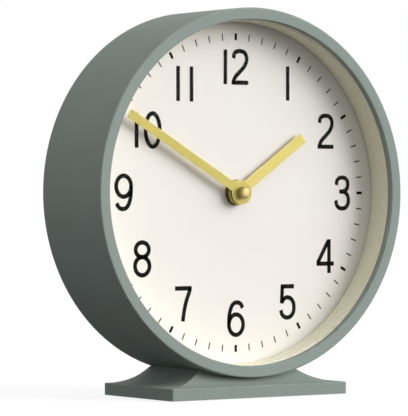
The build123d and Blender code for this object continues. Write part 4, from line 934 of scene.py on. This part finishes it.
plus = piece("plus_sign", sign_bar(sign_side, SIGN_HALF, SIGN_LINE), sign_grey)
carved(plus, sign_bar(sign_side, SIGN_LINE, SIGN_HALF), "UNION")
minus = piece("minus_sign", sign_bar(-sign_side, SIGN_HALF, SIGN_LINE), sign_grey)
sweep = [ARC_START + (ARC_END - ARC_START) * step / ARC_STEPS for step in range(ARC_STEPS + 1)]
arc = [on_arc(ARC_RADIUS + ARC_WIDTH, turn) for turn in sweep]
arc += [on_arc(ARC_RADIUS + ARC_HEAD, ARC_END), on_arc(ARC_RADIUS, ARC_END + ARC_POINT),
        on_arc(ARC_RADIUS - ARC_HEAD, ARC_END)]
arc += [on_arc(ARC_RADIUS - ARC_WIDTH, turn) for turn in reversed(sweep)]
arrow = piece("setting_arrow", sawn(arc, "XZ", sign_low, sign_high), sign_grey)
for sign in (plus, minus, arrow):
    seat(sign, "case", "movement_black")

# %% [markdown]
# ## The setting knob
# The knob is a small fluted drum on a stem. The flutes follow a rule, so a tree presses them in: each
# point near the rim moves inwards by a wave of its angle. The blank is turned first, with enough
# steps for every flute.

# %% Knob blank
knob_low, knob_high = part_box("setting_knob")
KNOB_GAP, KNOB_EASE, KNOB_DISH, KNOB_LAND = 0.05 * MM, 0.6 * MM, 0.5 * MM, 1.6 * MM
RIM_ROUND, DISH_ROUND = 0.3 * MM, 1.0 * MM
STEM_RADIUS, SPIGOT_RADIUS, SPIGOT_LENGTH = 1.1 * MM, 0.6 * MM, 0.9 * MM
knob_front, knob_radius = back_high.y + KNOB_GAP, knob_high.x - KNOB_CENTRE.x
spigot_end, dish_floor = knob_low.y + SPIGOT_LENGTH, knob_high.y - KNOB_DISH
knob_outline = eased([
    (0, knob_low.y), (SPIGOT_RADIUS, knob_low.y), (SPIGOT_RADIUS, spigot_end), (STEM_RADIUS, spigot_end),
    (STEM_RADIUS, knob_front), (knob_radius, knob_front, RIM_ROUND), (knob_radius, knob_high.y, KNOB_EASE),
    (knob_radius - KNOB_LAND, knob_high.y, RIM_ROUND),
    (knob_radius - 2 * KNOB_LAND, dish_floor, DISH_ROUND), (0, dish_floor)], steps=5)
knob_black = finish("knob_black", (0.062, 0.062, 0.062), (0.044, 0.044, 0.044), 0.42, drift=120.0,
                    grain=1600.0, relief=0.012, specular=0.4)
blank = piece("knob_blank", turned(knob_outline, steps=384, centre=KNOB_CENTRE), knob_black)
print("knob blank:", round(2 * knob_radius / MM, 1), "mm across")

# %% Flutes
FLUTES = {"Count": 24, "Depth": 0.45 * MM, "Radius": knob_radius}
FLUTE_PLACE, FLUTE_START, FLUTE_FULL = 0.4, 0.86, 0.95
tree, first, last = node_tree("flutes", **FLUTES)
size = first.outputs
spot = add(tree, "GeometryNodeInputPosition")
out = add(tree, "ShaderNodeVectorMath", {0: spot, 1: tuple(KNOB_CENTRE)}, operation="SUBTRACT")
out = add(tree, "ShaderNodeVectorMath", {0: out, 1: (1.0, 0.0, 1.0)}, operation="MULTIPLY")
parts = add(tree, "ShaderNodeSeparateXYZ", {0: out}).outputs
angle = maths(tree, "ARCTAN2", parts["Z"], parts["X"])
wave = maths(tree, "COSINE", maths(tree, "MULTIPLY_ADD", angle, size["Count"], -2 * pi * FLUTE_PLACE))
amount = maths(tree, "MULTIPLY", maths(tree, "MAXIMUM", wave, 0.0), size["Depth"])
length = add(tree, "ShaderNodeVectorMath", {0: out}, operation="LENGTH").outputs["Value"]
share = maths(tree, "DIVIDE", length, size["Radius"])
amount = maths(tree, "MULTIPLY", amount, ranged(tree, share, FLUTE_START, FLUTE_FULL))
outward = add(tree, "ShaderNodeVectorMath", {0: out}, operation="NORMALIZE")
shift = add(tree, "ShaderNodeVectorMath", {0: outward, "Scale": maths(tree, "MULTIPLY", amount, -1.0)},
            operation="SCALE")
pressed = add(tree, "GeometryNodeSetPosition", {"Geometry": size["Geometry"], "Offset": shift})
end_tree(tree, last, pressed, knob_black)
knob = grown("knob", tree, source=blank.data, **FLUTES)
bpy.data.objects.remove(blank)
seat(knob, "setting", "knob_black", "setting_knob")

# %% [markdown]
# ## The cell
# A standard AA cell lies in the bay. It has a steel can with a plain printed sleeve in two tones, whose
# ends are shrunk over the can's shoulders, and a nub at one end. The two tones are one finish that
# changes along the cell.

# %% Cell sleeve
cell_low, cell_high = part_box("battery")
CELL_AXIS = Vector((0, (cell_low.y + cell_high.y) / 2, (cell_low.z + cell_high.z) / 2))
CELL_RADIUS = (cell_high.z - cell_low.z) / 2
NUB_LENGTH, SLEEVE_LIP, SLEEVE_EASE, END_SINK = 1.2 * MM, 1.6 * MM, 0.7 * MM, 0.25 * MM
can_end, lip_radius = cell_high.x - NUB_LENGTH, CELL_RADIUS - SLEEVE_LIP
sleeve_end, sleeve_inside = cell_low.x + SMALL_EDGE, CELL_RADIUS - 2 * SMALL_EDGE
sleeve_outline = eased([
    (lip_radius, sleeve_end), (CELL_RADIUS, sleeve_end, SLEEVE_EASE), (CELL_RADIUS, can_end, SLEEVE_EASE),
    (lip_radius, can_end), (lip_radius, can_end - END_SINK), (sleeve_inside, can_end - SLEEVE_EASE),
    (sleeve_inside, cell_low.x + SLEEVE_EASE + SMALL_EDGE), (lip_radius, sleeve_end + END_SINK)], steps=5)
sleeve_print = finish("sleeve_print", (0.055, 0.105, 0.165), (0.040, 0.085, 0.140), 0.28, drift=50.0,
                      grain=900.0, relief=0.004, specular=0.5)
SLEEVE_BAND, BAND_TONE = 11.0 * MM, (0.62, 0.60, 0.55, 1.0)
tree = sleeve_print.node_tree
ends = add(tree, "ShaderNodeSeparateXYZ", {0: tree.nodes["Texture Coordinate"].outputs["Object"]})
banded = maths(tree, "GREATER_THAN", ends.outputs["X"], SLEEVE_BAND)
# For colours, a Mix node uses inputs 6 and 7 and output 2.
band = add(tree, "ShaderNodeMix", {0: banded, 7: BAND_TONE}, data_type="RGBA")
shader = tree.nodes["Principled BSDF"]
tree.links.new(shader.inputs["Base Color"].links[0].from_socket, band.inputs[6])
tree.links.new(band.outputs[2], shader.inputs["Base Color"])
sleeve = piece("cell_sleeve", turned(sleeve_outline, steps=128, centre=CELL_AXIS, lying=True), sleeve_print)
print("sleeve:", round(2 * CELL_RADIUS / MM, 1), "mm across")

# %% Cell can
can_steel = finish("can_steel", (0.68, 0.68, 0.67), (0.58, 0.58, 0.57), 0.30, drift=200.0, grain=1400.0,
                   relief=0.002, metallic=1.0, specular=0.5)
NUB_RADIUS, NUB_EASE, CAN_INSET, CAN_EASE = 2.75 * MM, 0.35 * MM, 2.2 * MM, 0.1 * MM
can_radius, shoulder = CELL_RADIUS - 3 * SMALL_EDGE, CELL_RADIUS - SLEEVE_LIP - SMALL_EDGE
can_outline = eased([
    (0, cell_low.x), (CELL_RADIUS - CAN_INSET, cell_low.x, CAN_EASE),
    (shoulder, cell_low.x + END_SINK + SMALL_EDGE), (can_radius, cell_low.x + SLEEVE_EASE + 2 * SMALL_EDGE),
    (can_radius, can_end - SLEEVE_EASE - SMALL_EDGE), (shoulder, can_end - END_SINK - SMALL_EDGE),
    (NUB_RADIUS, can_end - END_SINK, SMALL_EDGE), (NUB_RADIUS, cell_high.x, NUB_EASE), (0, cell_high.x)],
    steps=4)
can = piece("cell_can", turned(can_outline, steps=96, centre=CELL_AXIS, lying=True), can_steel)
seat(sleeve, "cell", "cell_sleeve", "battery")
seat(can, "cell", "contact_steel", "battery")

# %% [markdown]
# ## What stays as measured
# The works inside, from the moulded movement box to the wheels, already have their true shape in the
# frame, so they keep it and only get a finish. Each finish goes to the nodes that the record lists
# under its slot.

# %% Finishes of the works
works = {
    "cover_black": cover_black,
    "movement_black": moulding,
    "screw_steel": zinc,
    "seal_grey": seal,
    "gear_plastic": finish("gear_plastic", (0.80, 0.80, 0.76), (0.74, 0.74, 0.69), 0.45, drift=200.0,
                           grain=1800.0, relief=0.006),
    "magnet": finish("magnet", (0.10, 0.10, 0.11), (0.06, 0.06, 0.065), 0.5, drift=300.0, grain=1800.0,
                     relief=0.01),
    "soft_iron": finish("soft_iron", (0.50, 0.50, 0.51), (0.42, 0.42, 0.43), 0.4, drift=150.0, grain=900.0,
                        relief=0.004, metallic=1.0, specular=0.5, stretch=(1.0, 1.0, 0.1)),
    "contact_steel": finish("contact_steel", (0.72, 0.71, 0.68), (0.62, 0.61, 0.59), 0.28, drift=150.0,
                            grain=900.0, relief=0.002, metallic=1.0, specular=0.5, stretch=(1.0, 1.0, 0.1)),
    "copper": finish("copper", (0.62, 0.28, 0.12), (0.50, 0.20, 0.08), 0.3, drift=150.0, grain=9000.0,
                     relief=0.02, metallic=1.0, specular=0.5, stretch=(1.0, 0.02, 0.02)),
    "board_green": finish("board_green", (0.045, 0.16, 0.075), (0.035, 0.13, 0.06), 0.35, drift=300.0,
                          grain=1500.0, relief=0.004),
}
for entry in frame["record"]["subparts"]:
    node = frame["nodes"][entry["node"]]
    if entry["material_slot"] in works:
        node.data.materials.clear()
        node.data.materials.append(works[entry["material_slot"]])
print("finishes for", len(works), "kinds of inner piece")
